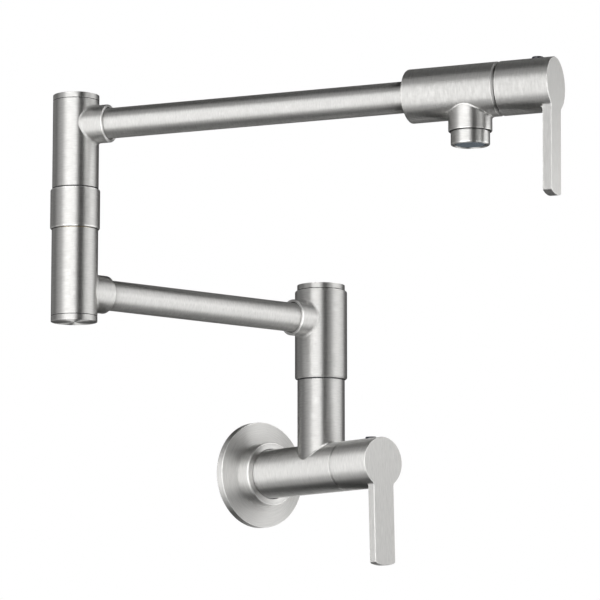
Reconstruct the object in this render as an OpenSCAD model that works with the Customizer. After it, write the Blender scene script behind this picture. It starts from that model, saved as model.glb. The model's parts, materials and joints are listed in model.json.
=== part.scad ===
// Wall mounted pot filler with a two-part swing arm and a quarter-turn valve at each end.
// Wall plane y = 0, +Z up, the tap stands out towards -Y.
// Origin: centre of the female inlet thread, on the wall plane.

/* [Reach and angles] */
// Wall to the axis of the lower swivel
riser_out = 69; // [62:1:76]
// Lower swivel axis to elbow axis
lower_reach = 213; // [150:1:280]
// Elbow axis to spout axis
upper_reach = 276; // [200:1:330]
// Turn of the upper arm from straight out of the wall, towards +X
upper_arm_turn = 25.9; // [0:0.1:60]
// Turn of the inlet lever from hanging straight down
inlet_lever_turn = 1.5; // [0:0.5:10]
// Turn of the outlet lever from hanging straight down, the other way
outlet_lever_turn = 1.5; // [0:0.5:10]

/* [Wall flange] */
// Radius of the flange
flange_r = 37.1; // [33:0.1:45]
// Front face of the flange above the wall
flange_t = 6.2; // [5:0.1:8]
// Wall of the collar round the inlet body
collar_wall = 4.7; // [3:0.1:6]
// Front face of the collar above the wall
collar_out = 16.5; // [15:0.5:22]
// Hollow radius between flange face and collar
collar_fillet_r = 1; // [0.5:0.5:5]
// Bevel round the flange rim
flange_bevel = 0.5; // [0.2:0.1:1]
// Bevel round the collar's front
collar_bevel = 1.1; // [0.4:0.1:1.5]
// Width of the rim that stands on the wall
flange_rim = 4.5; // [3:0.1:8]
// Thickness of the flange's sheet over that hollow
flange_sheet_t = 2.2; // [1.5:0.1:3]
// Thickness of the gasket behind the rim
gasket_t = 0.5; // [0.5:0.1:1.5]

/* [Inlet body] */
// Outer radius of both valve bodies and both handles
body_r = 17.1; // [16:0.1:19]
// Inlet body ahead of the riser's axis, up to the handle seam
inlet_front = 28.2; // [25:0.2:40]
// Wall radius of the half inch pipe thread
thread_r = 9.15; // [8:0.05:10.5]
// Depth of the pipe thread
thread_depth = 18; // [14:0.5:20]
// Radius of the waterways in both bodies
waterway_r = 6; // [4:0.5:7]
// Bevel at the handle end of each body
seam_bevel = 1.5; // [0.3:0.1:1.8]

/* [Lower swivel] */
// Step from the inlet body's radius down to the riser's
riser_step = 0.7; // [0.1:0.05:1]
// Top of the riser above the inlet axis
riser_height = 60.9; // [50:0.1:80]
// Step from the riser's radius up to the sleeve's
sleeve_step = 1.7; // [0.5:0.05:3]
// Height of the swivel sleeve
sleeve_height = 62; // [59:0.2:75]
// Lower arm axis above the foot of the sleeve
sleeve_arm_up = 41.3; // [41:0.1:43]
// Bevel at both ends of the sleeve
sleeve_bevel = 1.6; // [0.5:0.1:2]
// Wall of the sleeve round its chamber
sleeve_wall = 4.1; // [3.6:0.1:5]
// Wall of the spigot that the sleeve turns on
riser_spigot_wall = 4.5; // [4:0.1:6]
// Step from the sleeve's radius down to its cap's
sleeve_cap_step = 1.55; // [0.5:0.05:2]
// Length of the sleeve's arm socket beyond the sleeve
sleeve_stub_length = 8.8; // [6:0.2:15]

/* [Elbow] */
// Outer radius of the elbow column
elbow_r = 15.2; // [15:0.1:17]
// Height of the elbow's lower body
elbow_lower_height = 56.6; // [50:0.2:75]
// Lower arm axis above the foot of the lower body
elbow_lower_arm_up = 16.2; // [16:0.1:17.5]
// Step from the column's radius up to the ring between the two bodies
ring_step = 1.05; // [0.5:0.05:3]
// Height of that ring
ring_height = 26.4; // [15:0.2:40]
// Bevel at both ends of the ring
ring_bevel = 1.1; // [0.5:0.1:1.5]
// Height of the elbow's upper body
elbow_upper_height = 58; // [56:0.1:70]
// Upper arm axis above the foot of the upper body
elbow_upper_arm_up = 41.6; // [39:0.1:42]
// Wall of both elbow bodies round their chamber
elbow_wall = 3.2; // [3:0.1:3.6]
// Wall of the spigot that the upper body turns on
elbow_spigot_wall = 4; // [3.5:0.1:5]
// Length of each elbow arm socket beyond the column
elbow_stub_length = 9.6; // [6:0.2:15]

/* [Arms] */
// Outer radius of the arm tubes
tube_r = 10; // [9:0.1:10.6]
// Wall of the arm tubes
tube_wall = 1.2; // [0.8:0.1:2]
// Wall of the arm sockets
stub_wall = 2.5; // [2:0.1:3]
// Bevel at the mouth of the arm sockets
stub_bevel = 0.7; // [0.3:0.1:0.9]

/* [Outlet] */
// Outlet body behind the spout axis
outlet_back = 40.3; // [38:0.1:50]
// Outlet body ahead of the spout axis, up to the handle seam
outlet_front = 20.9; // [19:0.1:24]
// Depth of the arm's socket in the outlet body
outlet_socket = 13; // [10:0.5:16]
// Bevel at the arm end of the outlet body
outlet_bevel = 1.5; // [0.5:0.1:2]
// Radius of the spout nozzle
nozzle_r = 13.75; // [13.2:0.05:15]
// Mouth of the nozzle below the outlet body
nozzle_drop = 8.4; // [8:0.1:16]
// Step from the nozzle's radius down to the aerator's
aerator_step = 1.5; // [0.4:0.05:2]
// Visible height of the aerator
aerator_height = 8.2; // [6:0.1:12]
// Width of the aerator's rim round its insert
aerator_rim = 2.2; // [2.2:0.05:3.5]
// Recess of the insert in the aerator's mouth
insert_recess = 0.5; // [0.5:0.1:2]
// Rings of water holes round the middle one
insert_rings = 4; // [2:1:4]

/* [Handles] */
// Length of each handle, from seam to front face
handle_length = 35.8; // [33:0.2:42]
// Lever foot below the handle axis
lever_length = 69.6; // [50:0.1:90]
// Width of the lever bar
lever_w = 18; // [14:0.5:20]
// Thickness of the lever bar
lever_t = 6; // [4:0.2:8]
// Radius of the curve across the lever's foot
lever_foot_r = 25.5; // [12:0.5:60]
// Hollow radius where the bar leaves the round face
lever_neck_r = 3; // [1:0.5:5]
// Bevel round the handle's front face
lever_bevel = 0.5; // [0.3:0.1:1.2]
// Radius of the plug over the set screw
plug_r = 3.65; // [3:0.05:4]
// Plug centre behind the handle's front face
plug_back = 12; // [10:0.5:15]
// Height of the plug above the handle
plug_proud = 1; // [0.3:0.1:1.2]

/* [Valve cartridge] */
// Depth of the valve seat behind the seam
seat_depth = 36; // [35:0.2:37]
// Wall of both valve bodies round their chamber
body_wall = 4.1; // [3:0.1:4.5]
// Wall of the cartridge housing
housing_wall = 2; // [1.5:0.1:2.5]
// Thickness of the fixed disc
fixed_disc_t = 3; // [2.5:0.1:3.5]
// Thickness of the moving disc
moving_disc_t = 3.5; // [3:0.1:4]
// Radius of the stem, as a share of the discs' radius
stem_share = 0.51; // [0.48:0.01:0.55]
// Teeth of the spline on the stem
spline_teeth = 20; // [12:1:24]

/* [Fits] */
// Radial clearance where one piece turns in another
run_gap = 0.08; // [0.05:0.01:0.1]
// Clearance of threads and of joints that are soldered or pressed
join_gap = 0.05; // [0.02:0.01:0.08]
// Gap between faces that turn on each other
face_gap = 0.1; // [0.05:0.01:0.15]

/* [Hidden] */
$fn = 96;

steel = [0.74, 0.73, 0.71];
brass = [0.78, 0.64, 0.36];
rubber = [0.09, 0.09, 0.1];
ceramic = [0.92, 0.91, 0.88];
acetal = [0.16, 0.16, 0.17];
plug_blue = [0.07, 0.09, 0.16];
insert_grey = [0.36, 0.42, 0.48];

// Overrun of every cut past its face
over = 1;
// Small bevel on edges that are only broken
edge_bevel = 0.4;

// Flange and its seals
flange_bore_gap = 0.5;
flange_bore_r = body_r + flange_bore_gap;
flange_hollow_r = flange_r - flange_rim;
collar_r = flange_bore_r + collar_wall;
collar_land = 1;
flange_under_t = flange_t - flange_sheet_t;
gasket_inset = 0.5;
gasket_outer_r = flange_r - gasket_inset;
gasket_inner_r = flange_hollow_r + gasket_inset;
collar_ring_minor_r = 1;
collar_ring_major_r = body_r + join_gap + collar_ring_minor_r;
collar_ring_back = 4;
collar_ring_y = collar_out - collar_ring_back;
collar_groove_r = collar_ring_major_r + collar_ring_minor_r + join_gap;
groove_side_gap = 0.2;

// Swivel pieces that both joints share
thrust_t = 0.8;
thrust_inset = 0.5;
nut_washer_t = 0.8;
nut_t = 4;
spigot_step = 1.5;
neck_step = 2.5;
neck_free_length = 1.5;
seat_step = 0.5;
neck_length = nut_washer_t + nut_t + neck_free_length;
bearing_length = 26.2;
seat_thread_length = 22;
o_ring_r = 1.15;
o_ring_shares = [0.3, 0.75];
nut_chamber_gap = 0.4;
seal_t = 0.4;
seal_inset = 0.6;
cap_t = 3.6;
cap_plug_length = 4.4;

// Radii and heights of the riser and the lower swivel
inlet_length = riser_out + inlet_front;
riser_r = body_r - riser_step;
sleeve_r = riser_r + sleeve_step;
sleeve_chamber_r = sleeve_r - sleeve_wall;
sleeve_cap_r = sleeve_r - sleeve_cap_step;
sleeve_stub_out = sleeve_r + sleeve_stub_length;
riser_spigot_r = sleeve_chamber_r - spigot_step;
riser_seat_r = riser_spigot_r - seat_step;
riser_bore_r = riser_spigot_r - riser_spigot_wall;
sleeve_z = riser_height + thrust_t;
lower_arm_z = sleeve_z + sleeve_arm_up;
sleeve_top_z = sleeve_z + sleeve_height;

// Radii and heights of the elbow
ring_r = elbow_r + ring_step;
ring_wall = 3;
ring_bore_r = ring_r - ring_wall;
ring_lip_inset = 1.2;
ring_lip_r = elbow_r - ring_lip_inset;
elbow_chamber_r = elbow_r - elbow_wall;
elbow_stub_out = elbow_r + elbow_stub_length;
elbow_spigot_r = elbow_chamber_r - spigot_step;
elbow_spigot_bore_r = elbow_spigot_r - elbow_spigot_wall;
elbow_bearing_length = 22;
elbow_lower_z = lower_arm_z - elbow_lower_arm_up;
elbow_lower_top_z = elbow_lower_z + elbow_lower_height;
ring_seam = 0.4;
ring_z = elbow_lower_top_z + ring_seam;
ring_top_z = ring_z + ring_height;
elbow_upper_z = ring_top_z + thrust_t;
upper_arm_z = elbow_upper_z + elbow_upper_arm_up;
elbow_upper_top_z = elbow_upper_z + elbow_upper_height;

// Arm sockets
stub_r = tube_r + stub_wall;
tube_stop = 1;
mouth_gap = 0.5;
mouth_depth = 2;

// Outlet
outlet_back_at = upper_reach - outlet_back;
outlet_seam_at = upper_reach + outlet_front;
outlet_length = outlet_back + outlet_front;
outlet_port_r = 7.5;
nozzle_bevel = 0.6;
nozzle_down = body_r + nozzle_drop;
aerator_r = nozzle_r - aerator_step;
aerator_seam = 0.5;
aerator_thread_step = 1;
aerator_thread_r = aerator_r - aerator_thread_step;
aerator_thread_length = 7;
aerator_washer_t = 1.4;
aerator_bevel = 1;
aerator_top = nozzle_down + aerator_seam;
aerator_foot = aerator_top + aerator_height;
nozzle_step = aerator_top - aerator_thread_length - aerator_washer_t;
insert_r = aerator_r - aerator_rim;
insert_wall = 1;
insert_edge = 1.25;
insert_floor_t = 1.6;
insert_length = 11;
insert_pitch = (insert_r - insert_wall - insert_edge) / insert_rings;
insert_hole_share = 0.37;
insert_hole_r = insert_pitch * insert_hole_share;
insert_ring_holes = 6;

// Valve cartridge, measured from the seam, out towards the lever
disc_film = 0.03;
seat_washer_t = 2.4;
seat_lift = 0.6;
seat_washer_wall = 2.6;
chamber_r = body_r - body_wall;
housing_space = 2;
housing_r = chamber_r - housing_space;
disc_gap = 0.2;
disc_r = housing_r - housing_wall - disc_gap;
housing_thread_length = 10;
housing_shoulder = 12;
housing_flange_step = 1.2;
housing_flange_r = chamber_r + housing_flange_step;
housing_flange_t = 1.6;
housing_hex_inset = 1.5;
housing_hex_r = chamber_r - housing_hex_inset;
housing_hex_t = 6;
window_w = 8;
window_length = 10;
window_back = 14;
disc_back = seat_depth - seat_washer_t;
disc_front = disc_back - fixed_disc_t - disc_film;
stem_plate_back = disc_front - moving_disc_t;
stem_plate_t = 2.4;
port_outer_share = 0.77;
port_outer_r = disc_r * port_outer_share;
port_inner_share = 0.27;
port_inner_r = disc_r * port_inner_share;
stem_r = disc_r * stem_share;
port_half_angle = 40;
drive_pin_r = 1.1;
drive_pin_depth = 1.2;
drive_pin_at = (port_outer_r + port_inner_r) / 2;
housing_ring_r = 0.85;
stem_ring_r = 0.55;
stem_ring_backs = [3, 7];
spline_step = 0.4;
tooth_height = 0.4;
spline_tip_r = stem_r - spline_step;
spline_root_r = spline_tip_r - tooth_height;
spline_front = 8;
tooth_shares = [0, 0.35, 0.5, 0.85];

// Handles
handle_gap = 0.8;
hub_side_gap = 0.6;
hub_end_gap = 2;
hub_cavity_r = housing_flange_r + hub_side_gap;
hub_cavity_depth = housing_flange_t + housing_hex_t + hub_end_gap;
hub_shoulder_gap = 0.5;
spline_back = hub_cavity_depth - hub_shoulder_gap;
plug_depth = 3;
screw_r = 2.5;
screw_back = spline_tip_r + join_gap;
screw_plug_gap = 1.95;
screw_length = body_r - plug_depth - screw_plug_gap - screw_back;
screw_key_r = 1.45;
screw_key_depth = 3;
plug_dome = 0.2;

// Ring of rectangular section, bevelled at its outer edges
module bevelled_tube(outer_r, inner_r, length, foot_bevel, head_bevel) {
    rotate_extrude()
        polygon([
            [inner_r, 0],
            [outer_r - foot_bevel, 0],
            [outer_r, foot_bevel],
            [outer_r, length - head_bevel],
            [outer_r - head_bevel, length],
            [inner_r, length]
        ]);
}

// Plain ring standing on z = 0
module ring(outer_r, inner_r, height) {
    difference() {
        cylinder(r = outer_r, h = height);
        translate([0, 0, -over])
            cylinder(r = inner_r, h = height + 2 * over);
    }
}

// O-ring lying round the z axis
module o_ring(major_r, minor_r) {
    rotate_extrude()
        translate([major_r, 0])
            circle(r = minor_r);
}

// Groove cut into a shaft for an O-ring, centred on z = 0
module shaft_groove(shaft_r, minor_r) {
    width = 2 * (minor_r + groove_side_gap);
    translate([0, 0, -width / 2])
        ring(shaft_r + over, shaft_r - 2 * minor_r - join_gap, width);
}

// Places: z runs along the named axis, and y stays up where the axis is level
module along_inlet() {
    rotate([90, 0, 0])
        children();
}

module at_riser(height) {
    translate([0, -riser_out, height])
        children();
}

module at_elbow(height) {
    translate([-lower_reach, -riser_out, height])
        children();
}

module along_upper_arm() {
    at_elbow(upper_arm_z)
        rotate([90, 0, upper_arm_turn])
            children();
}

module at_inlet_valve() {
    along_inlet()
        translate([0, 0, inlet_length])
            children();
}

module at_outlet_valve() {
    along_upper_arm()
        translate([0, 0, outlet_seam_at])
            children();
}

module at_inlet_handle() {
    at_inlet_valve()
        rotate([0, 0, inlet_lever_turn])
            children();
}

module at_outlet_handle() {
    at_outlet_valve()
        rotate([0, 0, -outlet_lever_turn])
            children();
}

// Spout axis, z down from the outlet's axis
module at_spout() {
    along_upper_arm()
        translate([0, 0, upper_reach])
            rotate([90, 0, 0])
                children();
}

// Wall flange with its collar
module flange() {
    color(steel)
        along_inlet()
            rotate_extrude() {
                polygon([
                    [flange_bore_r, flange_under_t],
                    [flange_hollow_r, flange_under_t],
                    [flange_hollow_r, gasket_t],
                    [flange_r, gasket_t],
                    [flange_r, flange_t - flange_bevel],
                    [flange_r - flange_bevel, flange_t],
                    [collar_r, flange_t],
                    [collar_r, collar_out - collar_bevel],
                    [collar_r - collar_bevel, collar_out],
                    [flange_bore_r + collar_land, collar_out],
                    [flange_bore_r, collar_out - collar_land],
                    [flange_bore_r, collar_ring_y + collar_ring_minor_r + groove_side_gap],
                    [collar_groove_r, collar_ring_y + collar_ring_minor_r + groove_side_gap],
                    [collar_groove_r, collar_ring_y - collar_ring_minor_r - groove_side_gap],
                    [flange_bore_r, collar_ring_y - collar_ring_minor_r - groove_side_gap]
                ]);
                difference() {
                    translate([collar_r, flange_t])
                        square(collar_fillet_r);
                    translate([collar_r + collar_fillet_r, flange_t + collar_fillet_r])
                        circle(r = collar_fillet_r);
                }
            }
}

module flange_gasket() {
    color(rubber)
        along_inlet()
            ring(gasket_outer_r, gasket_inner_r, gasket_t);
}

module collar_o_ring() {
    color(rubber)
        along_inlet()
            translate([0, 0, collar_ring_y])
                o_ring(collar_ring_major_r, collar_ring_minor_r);
}

// Chamber for the valve cartridge, cut back from the seam at z = 0
module valve_chamber_cut() {
    translate([0, 0, -seat_depth])
        cylinder(r = chamber_r, h = seat_depth + over);
}

// Inlet body: pipe thread at the wall, valve chamber in front, port up to the riser
module inlet_body() {
    color(steel)
        difference() {
            along_inlet()
                bevelled_tube(body_r, thread_r, inlet_length, edge_bevel, seam_bevel);
            at_inlet_valve()
                valve_chamber_cut();
            at_riser(0)
                cylinder(r = riser_bore_r, h = body_r + over);
        }
    color(steel)
        along_inlet()
            translate([0, 0, thread_depth])
                ring(thread_r + join_gap, waterway_r, inlet_length - seat_depth - thread_depth);
}

// Riser, saddled on the inlet body
module riser_tube() {
    color(steel)
        difference() {
            at_riser(0)
                cylinder(r = riser_r, h = riser_height);
            along_inlet()
                cylinder(r = body_r + join_gap, h = inlet_length + over);
            at_riser(0)
                cylinder(r = riser_bore_r, h = riser_height + over);
            at_riser(riser_height - seat_thread_length)
                cylinder(r = riser_seat_r, h = seat_thread_length + over);
        }
}

// Spigot of a swivel, z = 0 at the face that its thrust washer lies on
module swivel_spigot(seat_r, foot, spigot_r, bearing, bore_r) {
    difference() {
        union() {
            translate([0, 0, -foot])
                cylinder(r = seat_r - join_gap, h = foot);
            cylinder(r = spigot_r, h = bearing);
            cylinder(r = spigot_r - neck_step, h = bearing + neck_length);
        }
        translate([0, 0, -foot - over])
            cylinder(r = bore_r, h = foot + bearing + neck_length + 2 * over);
        for (share = o_ring_shares)
            translate([0, 0, bearing * share])
                shaft_groove(spigot_r, o_ring_r);
    }
}

// The two O-rings of a swivel spigot
module spigot_o_rings(spigot_r, bearing) {
    for (share = o_ring_shares)
        translate([0, 0, bearing * share])
            o_ring(spigot_r - o_ring_r, o_ring_r);
}

// Hexagon nut that keeps a swivel on its spigot
module spigot_nut(spigot_r, hex_r) {
    difference() {
        cylinder(r = hex_r, h = nut_t, $fn = 6);
        translate([0, 0, -over])
            cylinder(r = spigot_r - neck_step + join_gap, h = nut_t + 2 * over);
    }
}

module riser_spigot() {
    color(brass)
        at_riser(riser_height)
            swivel_spigot(
                riser_seat_r, seat_thread_length, riser_spigot_r, bearing_length,
                riser_bore_r
            );
}

module riser_o_rings() {
    color(rubber)
        at_riser(riser_height)
            spigot_o_rings(riser_spigot_r, bearing_length);
}

module riser_thrust_washer() {
    color(acetal)
        at_riser(riser_height)
            ring(riser_r - thrust_inset, riser_spigot_r + run_gap, thrust_t - face_gap);
}

module riser_nut_washer() {
    color(acetal)
        at_riser(riser_height + bearing_length)
            ring(
                sleeve_chamber_r - nut_chamber_gap,
                riser_spigot_r - neck_step + join_gap,
                nut_washer_t
            );
}

module riser_nut() {
    color(brass)
        at_riser(riser_height + bearing_length + nut_washer_t)
            spigot_nut(riser_spigot_r, sleeve_chamber_r - nut_chamber_gap);
}

// Arm socket from the column's axis out along z
module arm_stub(length) {
    bevelled_tube(stub_r, 0, length, stub_bevel, stub_bevel);
}

// Bore of an arm socket, from the chamber out through the mouth
module arm_stub_cut(length) {
    cylinder(r = tube_r + join_gap, h = length + over);
    translate([0, 0, length - mouth_depth])
        cylinder(r = tube_r + mouth_gap, h = mouth_depth + over);
}

// Sleeve that turns on the riser and holds the lower arm
module lower_swivel_sleeve() {
    shoulder = bearing_length - thrust_t - face_gap;
    color(steel)
        difference() {
            union() {
                at_riser(sleeve_z)
                    bevelled_tube(
                        sleeve_r, riser_spigot_r + run_gap, sleeve_height, sleeve_bevel, sleeve_bevel
                    );
                at_riser(lower_arm_z)
                    rotate([0, -90, 0])
                        arm_stub(sleeve_stub_out);
            }
            at_riser(sleeve_z + shoulder)
                cylinder(r = sleeve_chamber_r, h = sleeve_height);
            at_riser(lower_arm_z)
                rotate([0, -90, 0])
                    arm_stub_cut(sleeve_stub_out);
        }
}

// Cap with its threaded plug, z = 0 under its rim
module column_cap(cap_r, plug_r) {
    bevelled_tube(cap_r, 0, cap_t, edge_bevel, edge_bevel);
    translate([0, 0, -cap_plug_length])
        cylinder(r = plug_r - join_gap, h = cap_plug_length);
}

module cap_seal(cap_r, plug_r) {
    ring(cap_r - seal_inset, plug_r + join_gap, seal_t);
}

module lower_swivel_cap() {
    color(steel)
        at_riser(sleeve_top_z + seal_t)
            column_cap(sleeve_cap_r, sleeve_chamber_r);
}

module lower_swivel_cap_seal() {
    color(rubber)
        at_riser(sleeve_top_z)
            cap_seal(sleeve_cap_r, sleeve_chamber_r);
}

// Arm tube lying along z
module arm_tube(start, end) {
    translate([0, 0, start])
        ring(tube_r, tube_r - tube_wall, end - start);
}

module lower_arm_tube() {
    color(steel)
        at_riser(lower_arm_z)
            rotate([0, -90, 0])
                arm_tube(sleeve_chamber_r + tube_stop, lower_reach - elbow_chamber_r - tube_stop);
}

// Lower half of the elbow, fixed to the lower arm
module elbow_lower_body() {
    color(steel)
        difference() {
            union() {
                at_elbow(elbow_lower_z)
                    bevelled_tube(elbow_r, 0, elbow_lower_height, edge_bevel, edge_bevel);
                at_elbow(lower_arm_z)
                    rotate([0, 90, 0])
                        arm_stub(elbow_stub_out);
            }
            at_elbow(elbow_lower_z - over)
                cylinder(r = elbow_chamber_r, h = elbow_lower_height + 2 * over);
            at_elbow(lower_arm_z)
                rotate([0, 90, 0])
                    arm_stub_cut(elbow_stub_out);
        }
}

module elbow_bottom_cap() {
    color(steel)
        at_elbow(elbow_lower_z - seal_t)
            mirror([0, 0, 1])
                column_cap(elbow_r, elbow_chamber_r);
}

module elbow_bottom_cap_seal() {
    color(rubber)
        at_elbow(elbow_lower_z - seal_t)
            cap_seal(elbow_r, elbow_chamber_r);
}

// Elbow spigot: screwed into the lower body, with a collar and lip that carry the ring
module elbow_spigot() {
    collar_height = ring_height + ring_seam;
    color(brass)
        at_elbow(ring_top_z)
            difference() {
                union() {
                    swivel_spigot(
                        elbow_chamber_r, collar_height + seat_thread_length, elbow_spigot_r,
                        elbow_bearing_length, elbow_spigot_bore_r
                    );
                    translate([0, 0, -collar_height])
                        cylinder(r = ring_bore_r - join_gap, h = collar_height);
                    translate([0, 0, -collar_height])
                        cylinder(r = ring_lip_r, h = ring_seam);
                }
                translate([0, 0, -collar_height - over])
                    cylinder(r = elbow_spigot_bore_r, h = collar_height + 2 * over);
            }
}

module elbow_o_rings() {
    color(rubber)
        at_elbow(ring_top_z)
            spigot_o_rings(elbow_spigot_r, elbow_bearing_length);
}

module elbow_ring() {
    color(steel)
        at_elbow(ring_z)
            bevelled_tube(ring_r, ring_bore_r, ring_height, ring_bevel, ring_bevel);
}

module elbow_thrust_washer() {
    color(acetal)
        at_elbow(ring_top_z)
            ring(elbow_r - thrust_inset, elbow_spigot_r + run_gap, thrust_t - face_gap);
}

module elbow_nut_washer() {
    color(acetal)
        at_elbow(ring_top_z + elbow_bearing_length)
            ring(
                elbow_chamber_r - nut_chamber_gap,
                elbow_spigot_r - neck_step + join_gap,
                nut_washer_t
            );
}

module elbow_nut() {
    color(brass)
        at_elbow(ring_top_z + elbow_bearing_length + nut_washer_t)
            spigot_nut(elbow_spigot_r, elbow_chamber_r - nut_chamber_gap);
}

// Upper half of the elbow, which turns with the upper arm
module elbow_upper_body() {
    shoulder = elbow_bearing_length - thrust_t - face_gap;
    color(steel)
        difference() {
            union() {
                at_elbow(elbow_upper_z)
                    bevelled_tube(
                        elbow_r, elbow_spigot_r + run_gap, elbow_upper_height, edge_bevel, edge_bevel
                    );
                along_upper_arm()
                    arm_stub(elbow_stub_out);
            }
            at_elbow(elbow_upper_z + shoulder)
                cylinder(r = elbow_chamber_r, h = elbow_upper_height);
            along_upper_arm()
                arm_stub_cut(elbow_stub_out);
        }
}

module elbow_top_cap() {
    color(steel)
        at_elbow(elbow_upper_top_z + seal_t)
            column_cap(elbow_r, elbow_chamber_r);
}

module elbow_top_cap_seal() {
    color(rubber)
        at_elbow(elbow_upper_top_z)
            cap_seal(elbow_r, elbow_chamber_r);
}

module upper_arm_tube() {
    color(steel)
        along_upper_arm()
            arm_tube(elbow_chamber_r + tube_stop, outlet_back_at + outlet_socket);
}

// Outlet body: arm socket, waterway, valve chamber and port down to the nozzle
module outlet_body() {
    color(steel)
        difference() {
            along_upper_arm()
                translate([0, 0, outlet_back_at])
                    bevelled_tube(body_r, waterway_r, outlet_length, outlet_bevel, seam_bevel);
            along_upper_arm()
                translate([0, 0, outlet_back_at - over])
                    cylinder(r = tube_r + join_gap, h = outlet_socket + over);
            at_outlet_valve()
                valve_chamber_cut();
            at_spout()
                cylinder(r = outlet_port_r, h = body_r + over);
        }
}

// Spout nozzle, saddled under the outlet body
module spout_nozzle() {
    color(steel)
        difference() {
            at_spout()
                bevelled_tube(nozzle_r, outlet_port_r, nozzle_down, edge_bevel, nozzle_bevel);
            along_upper_arm()
                translate([0, 0, outlet_back_at])
                    cylinder(r = body_r + join_gap, h = outlet_length);
            at_spout()
                translate([0, 0, nozzle_step])
                    cylinder(r = aerator_thread_r, h = nozzle_down);
        }
}

module aerator_washer() {
    color(rubber)
        at_spout()
            translate([0, 0, nozzle_step])
                ring(aerator_thread_r - join_gap, outlet_port_r, aerator_washer_t);
}

module aerator_shell() {
    color(steel)
        at_spout()
            difference() {
                union() {
                    translate([0, 0, aerator_top])
                        bevelled_tube(aerator_r, 0, aerator_height, edge_bevel, aerator_bevel);
                    translate([0, 0, aerator_top - aerator_thread_length])
                        cylinder(r = aerator_thread_r - join_gap, h = aerator_thread_length + over);
                }
                translate([0, 0, aerator_top - aerator_thread_length - over])
                    cylinder(
                        r = insert_r + join_gap,
                        h = aerator_thread_length + aerator_height + 2 * over
                    );
            }
}

// Plastic insert of the aerator, with rings of water holes in its floor
module aerator_insert() {
    color(insert_grey)
        at_spout()
            translate([0, 0, aerator_foot - insert_recess - insert_length])
                difference() {
                    cylinder(r = insert_r, h = insert_length);
                    translate([0, 0, -over])
                        cylinder(r = insert_r - insert_wall, h = insert_length - insert_floor_t + over);
                    for (turn = [0 : insert_rings])
                        for (hole = [1 : max(insert_ring_holes * turn, 1)])
                            rotate([0, 0, hole * 360 / max(insert_ring_holes * turn, 1)])
                                translate([turn * insert_pitch, 0, insert_length - insert_floor_t - over])
                                    cylinder(r = insert_hole_r, h = insert_floor_t + 2 * over);
                }
}

// Valve pieces, z = 0 at the seam, z out towards the lever
module seat_washer() {
    color(rubber)
        translate([0, 0, -seat_depth])
            ring(disc_r, disc_r - seat_washer_wall, seat_washer_t);
}

// Outline of the two water ports in a disc, either side along x
module disc_ports() {
    reach = 2 * port_outer_r;
    for (side = [0, 180])
        rotate(side)
            intersection() {
                difference() {
                    circle(r = port_outer_r);
                    circle(r = port_inner_r);
                }
                polygon([
                    [0, 0],
                    [reach * cos(port_half_angle), -reach * sin(port_half_angle)],
                    [reach * cos(port_half_angle), reach * sin(port_half_angle)]
                ]);
            }
}

// Disc with its two ports, standing on z = 0
module ported_disc(thickness) {
    linear_extrude(thickness)
        difference() {
            circle(r = disc_r);
            disc_ports();
        }
}

module fixed_disc() {
    color(ceramic)
        translate([0, 0, -disc_back])
            ported_disc(fixed_disc_t);
}

// The two drive pins of the stem, either side along x, standing down from z = 0
module drive_pins(pin_r) {
    for (side = [-1, 1])
        translate([side * drive_pin_at, 0, -drive_pin_depth])
            cylinder(r = pin_r, h = drive_pin_depth + over);
}

// Closed at rest: its ports stand a quarter turn from those of the fixed disc
module moving_disc() {
    color(ceramic)
        difference() {
            translate([0, 0, -disc_front])
                rotate([0, 0, 90])
                    ported_disc(moving_disc_t);
            translate([0, 0, -stem_plate_back])
                drive_pins(drive_pin_r + join_gap);
        }
}

// Points of the spline's outline
function spline_points(root_r, tip_r) = [
    for (tooth = [0 : spline_teeth - 1])
        for (corner = [0 : 3])
            let (angle = (tooth + tooth_shares[corner]) * 360 / spline_teeth)
                (corner < 2 ? root_r : tip_r) * [cos(angle), sin(angle)]
];

module stem() {
    color(brass)
        difference() {
            union() {
                translate([0, 0, -stem_plate_back])
                    rotate([0, 0, 90])
                        ported_disc(stem_plate_t);
                translate([0, 0, -stem_plate_back])
                    drive_pins(drive_pin_r);
                translate([0, 0, stem_plate_t - stem_plate_back])
                    cylinder(r = stem_r, h = stem_plate_back - stem_plate_t + spline_back);
                translate([0, 0, spline_back - over])
                    linear_extrude(handle_length - spline_front - spline_back + over)
                        polygon(spline_points(spline_root_r, spline_tip_r));
            }
            for (back = stem_ring_backs)
                translate([0, 0, -back])
                    shaft_groove(stem_r, stem_ring_r);
        }
}

module stem_o_rings() {
    color(rubber)
        for (back = stem_ring_backs)
            translate([0, 0, -back])
                o_ring(stem_r - stem_ring_r, stem_ring_r);
}

// Housing of the cartridge: thread, seating flange, hexagon and two pairs of side windows
module cartridge_body() {
    color(brass)
        difference() {
            union() {
                translate([0, 0, seat_lift - seat_depth])
                    cylinder(r = housing_r, h = seat_depth - seat_lift + over);
                translate([0, 0, -housing_thread_length])
                    cylinder(r = chamber_r - join_gap, h = housing_thread_length);
                cylinder(r = housing_flange_r, h = housing_flange_t);
                cylinder(r = housing_hex_r, h = housing_flange_t + housing_hex_t, $fn = 6);
            }
            translate([0, 0, -seat_depth])
                cylinder(r = disc_r + disc_gap, h = seat_depth - housing_shoulder);
            translate([0, 0, -seat_depth])
                cylinder(r = stem_r + run_gap, h = seat_depth + housing_flange_t + housing_hex_t + over);
            for (turn = [0, 90])
                rotate([0, 0, turn])
                    translate([-chamber_r, -window_w / 2, -window_back - window_length])
                        cube([2 * chamber_r, window_w, window_length]);
            translate([0, 0, -housing_ring_r - groove_side_gap])
                shaft_groove(chamber_r - join_gap, housing_ring_r);
        }
}

module cartridge_o_ring() {
    color(rubber)
        translate([0, 0, -housing_ring_r - groove_side_gap])
            o_ring(chamber_r - join_gap - housing_ring_r, housing_ring_r);
}

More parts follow.
